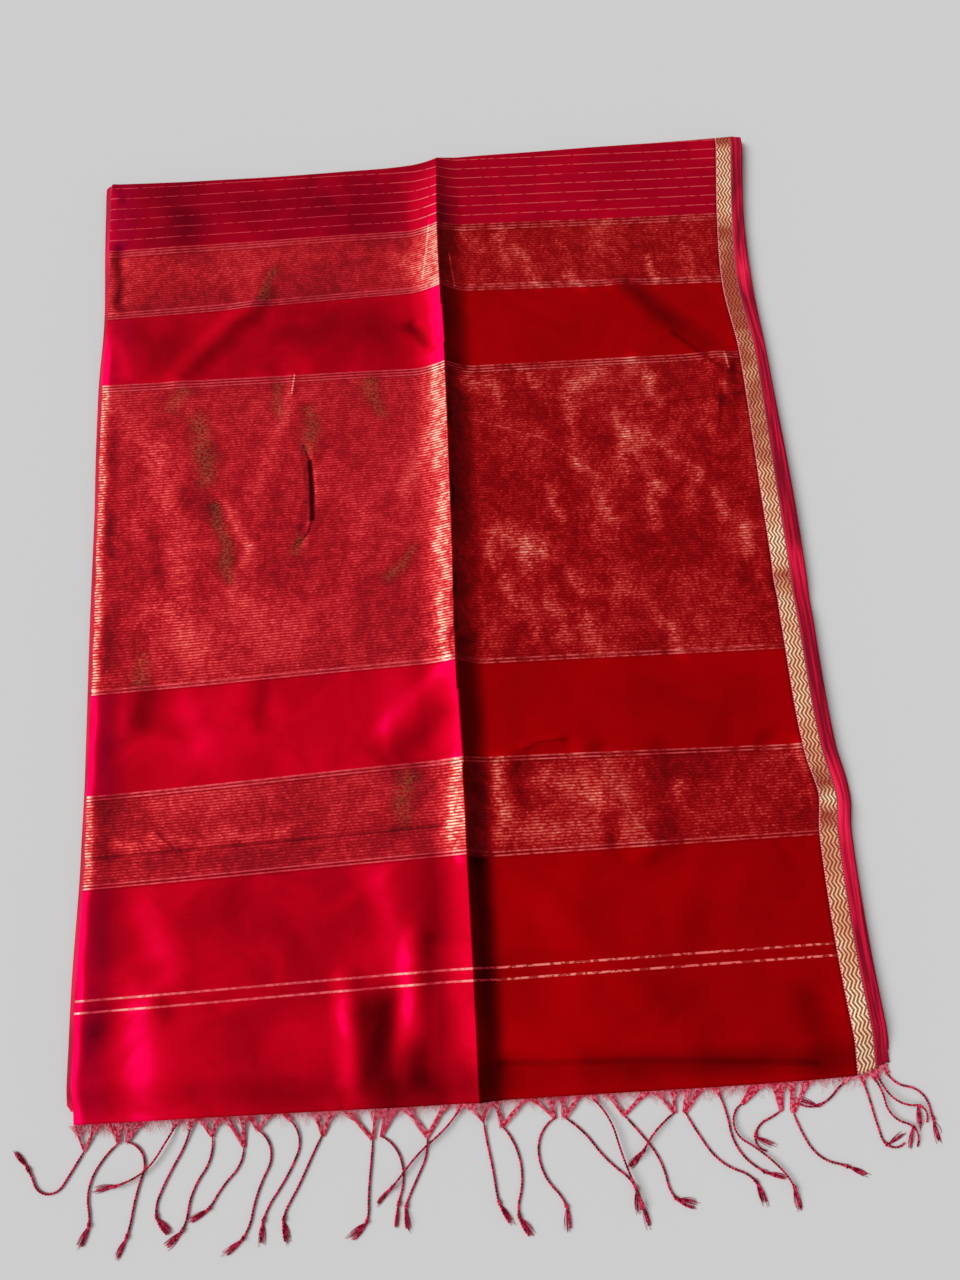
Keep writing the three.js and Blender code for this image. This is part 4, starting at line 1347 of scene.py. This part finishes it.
def sweep(tree, curve, radius, sides):
    """Closed tubes round every spline, as thick as its points' radius times the given one."""
    profile = add(tree, "GeometryNodeCurvePrimitiveCircle", {"Resolution": sides, "Radius": radius})
    swept = add(tree, "GeometryNodeCurveToMesh", {"Curve": curve, "Profile Curve": profile.outputs["Curve"],
                                                  "Fill Caps": True})
    if "Scale" in swept.inputs:
        thickness = add(tree, "GeometryNodeInputRadius")
        tree.links.new(thickness.outputs[0], swept.inputs["Scale"])
    return swept.outputs["Mesh"]


def close_tree(tree, geometry, material):
    real = add(tree, "GeometryNodeRealizeInstances", {"Geometry": geometry})
    finish = add(tree, "GeometryNodeSetMaterial", {"Geometry": real.outputs[0], "Material": material})
    out = add(tree, "NodeGroupOutput")
    tree.links.new(finish.outputs[0], out.inputs["Geometry"])


def twist_tree():
    tree = new_tree("twisted_plies")
    socket(tree, "Ply Radius", "NodeSocketFloat", 0.0005)
    socket(tree, "Twist Length", "NodeSocketFloat", 0.006)
    socket(tree, "Plies", "NodeSocketInt", 2)
    socket(tree, "Sides", "NodeSocketInt", 7)
    socket(tree, "Material", "NodeSocketMaterial")
    given = add(tree, "NodeGroupInput").outputs
    copied = {"Geometry": given["Geometry"], "Amount": given["Plies"]}
    copies = add(tree, "GeometryNodeDuplicateElements", copied, domain="SPLINE")
    length = add(tree, "GeometryNodeSplineParameter").outputs["Length"]
    turns = add(tree, "ShaderNodeMath", {0: length, 1: given["Twist Length"]}, operation="DIVIDE")
    share = add(tree, "ShaderNodeMath", {0: copies.outputs["Duplicate Index"], 1: given["Plies"]},
                operation="DIVIDE")
    both = add(tree, "ShaderNodeMath", {0: turns.outputs[0], 1: share.outputs[0]}, operation="ADD")
    angle = add(tree, "ShaderNodeMath", {0: both.outputs[0], 1: 2 * math.pi}, operation="MULTIPLY")
    tangent = add(tree, "GeometryNodeInputTangent").outputs[0]
    level = add(tree, "ShaderNodeVectorMath", {0: tangent, 1: (0, 0, 1)}, operation="CROSS_PRODUCT")
    side = add(tree, "ShaderNodeVectorMath", {0: level.outputs[0]}, operation="NORMALIZE")
    turned = add(tree, "ShaderNodeVectorRotate", {"Vector": side.outputs[0], "Axis": tangent,
                                                  "Angle": angle.outputs[0]})
    thick = add(tree, "GeometryNodeInputRadius").outputs[0]
    reach = add(tree, "ShaderNodeMath", {0: thick, 1: given["Ply Radius"]}, operation="MULTIPLY")
    offset = add(tree, "ShaderNodeVectorMath", {0: turned.outputs[0], "Scale": reach.outputs[0]},
                 operation="SCALE")
    moved = add(tree, "GeometryNodeSetPosition", {"Geometry": copies.outputs["Geometry"],
                                                  "Offset": offset.outputs[0]})
    close_tree(tree, sweep(tree, moved.outputs[0], given["Ply Radius"], given["Sides"]), given["Material"])
    return tree


def thread_tree():
    tree = new_tree("fine_threads")
    socket(tree, "Thread Radius", "NodeSocketFloat", 0.00015)
    socket(tree, "Sides", "NodeSocketInt", 3)
    socket(tree, "Material", "NodeSocketMaterial")
    given = add(tree, "NodeGroupInput").outputs
    tubes = sweep(tree, given["Geometry"], given["Thread Radius"], given["Sides"])
    close_tree(tree, tubes, given["Material"])
    return tree


# %% [markdown]
# A curve object with one spline for each thread goes through a tree and comes out as a plain mesh: the
# evaluated object is copied with its modifier worked in, and the curve and the modifier are thrown away.

# %% From curves to a plain mesh


def curve_object(name, lines, radii):
    """One poly spline for each line of points in mm; radii are factors, one list for each line."""
    data = bpy.data.curves.new(name, "CURVE")
    data.dimensions = "3D"
    for points, thick in zip(lines, radii):
        spline = data.splines.new("POLY")
        spline.points.add(len(points) - 1)
        spline.points.foreach_set("co", np.column_stack([points * MM, np.ones(len(points))]).ravel())
        spline.points.foreach_set("radius", np.asarray(thick, float))
    piece = bpy.data.objects.new(name, data)
    bpy.context.collection.objects.link(piece)
    return piece


def grow(name, curves, tree, **inputs):
    """Runs the tree on the curves and keeps the result as a mesh object of that name."""
    modifier = curves.modifiers.new("grow", "NODES")
    modifier.node_group = tree
    for item in tree.interface.items_tree:
        key_name = item.name.lower().replace(" ", "_")
        if item.in_out == "INPUT" and key_name in inputs:
            modifier[item.identifier] = inputs[key_name]
    depsgraph = bpy.context.evaluated_depsgraph_get()
    mesh = bpy.data.meshes.new_from_object(curves.evaluated_get(depsgraph))
    curves.modifiers.remove(modifier)
    bpy.data.objects.remove(curves)
    mesh.name = name
    piece = bpy.data.objects.new(name, mesh)
    bpy.context.collection.objects.link(piece)
    triangles = sum(len(face.vertices) - 2 for face in mesh.polygons)
    print(name, len(mesh.polygons), "faces,", triangles, "triangles")
    return piece


# %% [markdown]
# The strands are wine red with painted pink glints in random specks and patches, like those where the light
# runs along a ply; the loose threads behind the hem are painted rosy, as light through such thin threads
# makes them.

# %% Silk of the fringe


def fringe_silk(name, dark, light, glow):
    made = Recipe(name)
    place = made.node("ShaderNodeTexCoord", output=3)
    fine = made.noise(place, detail=2, scale=450)
    slow = made.noise(place, detail=2, scale=90)
    # Painted glints: the light colour in fine specks and the glow colour in slow patches
    body = made.mix(made.step(fine, 0.44, 0.6), dark, light)
    body = made.mix(made.step(slow, 0.5, 0.7, 0.0, 0.7), body, glow)
    made.put(made.shader.inputs["Base Color"], body)
    made.finish(
        roughness=0.45, specular=0.3, specular_tint=colour("FF7088"), sheen_weight=0.15,
        sheen_tint=colour("FF5080"),
    )
    return made.material


strand_silk = fringe_silk("fringe_silk", colour("6C0016"), colour("DC3058"), colour("B00C34"))
loose_silk = fringe_silk("loose_silk", colour("CC1838"), colour("F47890"), colour("E44464"))
brush_silk = fringe_silk("brush_silk", colour("80001E"), colour("C83058"), colour("A81840"))

# %% [markdown]
# Loose threads are drawn with a seeded chance: the same ones come out on every run. From the hem they run
# into the nearest strand, a little slack, and between the strands they end ragged after a few millimetres.
# At the far end each strand is tied off and opens into its brush.

# %% Strands, knots and loose threads
chance = np.random.default_rng(7)
PLIES = 2
PLY_SIDES = 6
PLY_RADIUS = 0.48
TWIST_LENGTH = 4.2
THREAD_SIDES = 3
THREAD_RADIUS = 0.22
HAIR_RADIUS = 0.28
KNOT_AT = 14.0
THREADS_A_LEG = 22
LEG_SPREAD = 2.6
LEG_GATHER = 5
BUNDLE = 0.75
HEM_FUZZ_STEP = 0.5
BRUSH_HAIRS = 16


def strand_radii(points):
    """Thinner at the start, swollen at the knot, and open at the end."""
    left = np.arange(len(points))[::-1].astype(float)
    knot = 0.75 * np.exp(-(((left - KNOT_AT) / 1.6) ** 2))
    start = smooth(np.arange(len(points)) / 6.0) * 0.35 + 0.65
    return (start + knot) * np.where(left < KNOT_AT - 2, 0.9, 1.0)


def rest_on_floor(points, thick):
    """The line, lifted where the plies would otherwise go through the floor."""
    short_of = 2 * PLY_RADIUS * thick + 0.05 - points[:, 2]
    return points + np.outer(np.maximum(short_of, 0), (0, 0, 1))


def leg_threads(leg, gathered, count):
    """Loose threads that leave the cloth side by side and run together into one bundle."""
    middle = np.array([leg, strip_middle(leg) + 1.6, strip_height(leg) + 0.1])
    way = gathered - middle
    meet = middle + way * min(0.8, LEG_GATHER / np.linalg.norm(way))
    lines = []
    for _ in range(count):
        root = middle + (chance.normal(0, LEG_SPREAD), 0, 0)
        shares = even(9)[:, None]
        together = lerp(meet, gathered, shares) + chance.normal(0, BUNDLE, 3) * (1, 1, 0)
        apart = lerp(root, gathered, shares) + np.sin(shares * math.pi) * chance.normal(0, 0.5, 3)
        line = lerp(apart, together, smooth(3 * shares))
        line[:, 2] = strand_height(line[:, 0], line[:, 1], 0.3) + chance.uniform(0, 0.7)
        lines.append(line)
    return lines


def hem_threads():
    """The ragged ends between the strands."""
    lines = []
    for x in np.arange(-HALF_WIDTH + 1, HALF_WIDTH - 1, HEM_FUZZ_STEP):
        place = x + chance.normal(0, 0.4)
        reach = min(chance.gamma(2.0, 1.7) + (4 if x < -250 else 1), 10)
        root = np.array([place, strip_middle(place) + 1.7, strip_height(place) + 0.1])
        shares = even(6)[:, None]
        line = root + shares * np.array([chance.normal(0, 0.4) * reach, -reach, 0])
        line[:, 0] += 0.8 * np.sin(shares[:, 0] * 4 + place)
        line[:, 2] = np.maximum(strand_height(line[:, 0], line[:, 1], 0.2), 0.3)
        lines.append(line)
    return lines


def loose_threads():
    legs = []
    for (sides, _, drop, *_), strand in zip(STRANDS, strand_lines):
        gathered = strand[0] if drop else strand[5]
        for leg in sorted(set(sides)):
            legs += leg_threads(leg, gathered, THREADS_A_LEG)
    short = hem_threads()
    return legs + short, [lerp(0.9, 1.0, even(9)) for _ in legs] + [lerp(0.7, 0.3, even(6)) for _ in short]


def brush_hairs():
    """The open ends behind each knot."""
    lines, radii = [], []
    for strand in strand_lines:
        knot = strand[-int(KNOT_AT)]
        way = strand[-1] - strand[-6]
        way[2] = 0
        way /= np.linalg.norm(way)
        across = np.array([way[1], -way[0], 0])
        for _ in range(BRUSH_HAIRS):
            side = chance.normal(0, 1.0)
            reach = KNOT_AT + chance.normal(-1.0, 1.6)
            shares = even(6)[:, None]
            swell = across * side * 1.15 * np.sin(shares * math.pi * 0.62)
            line = knot + way * reach * shares + swell
            line[:, 2] = 0.35 + abs(chance.normal(0, 0.6)) * np.sin(shares[:, 0] * 2.6) + 0.2
            lines.append(line)
            radii.append(lerp(1.1, 0.5, even(6)))
    return lines, radii


twisting = twist_tree()
threading = thread_tree()
radii = [strand_radii(points) for points in strand_lines]
resting = [rest_on_floor(points, thick) for points, thick in zip(strand_lines, radii)]
fringe_strands = grow("fringe_strands", curve_object("strand_lines", resting, radii), twisting,
                      ply_radius=PLY_RADIUS * MM, twist_length=TWIST_LENGTH * MM, plies=PLIES,
                      sides=PLY_SIDES, material=strand_silk)
fringe_threads = grow("fringe_threads", curve_object("thread_lines", *loose_threads()), threading,
                      thread_radius=THREAD_RADIUS * MM, sides=THREAD_SIDES, material=loose_silk)
fringe_brushes = grow("fringe_brushes", curve_object("brush_lines", *brush_hairs()), threading,
                      thread_radius=HAIR_RADIUS * MM, sides=THREAD_SIDES, material=brush_silk)

# %% [markdown]
# Last, every piece is tied to the frame's root body, and the solid that it replaces is hidden. Each row
# also names the finish of the record that the piece belongs to, which nothing here reads.

# %% Tie the pieces to the frame
PIECES = [
    (left_cloth, "pallu_left", "pallu_silk"),
    (right_cloth, "pallu_right", "pallu_silk"),
    (border_cloth, "zari_border", "border_zari"),
    (selvedge_cloth, "selvedge", "selvedge_silk"),
    (under_cloth, "under_layers", "body_silk"),
    (fringe_strands, "fringe", "fringe_silk"),
    (fringe_threads, None, "fringe_silk"),
    (fringe_brushes, None, "fringe_silk"),
]
for piece, node, finish in PIECES:
    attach(piece, "root")
    if node:
        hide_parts(node)
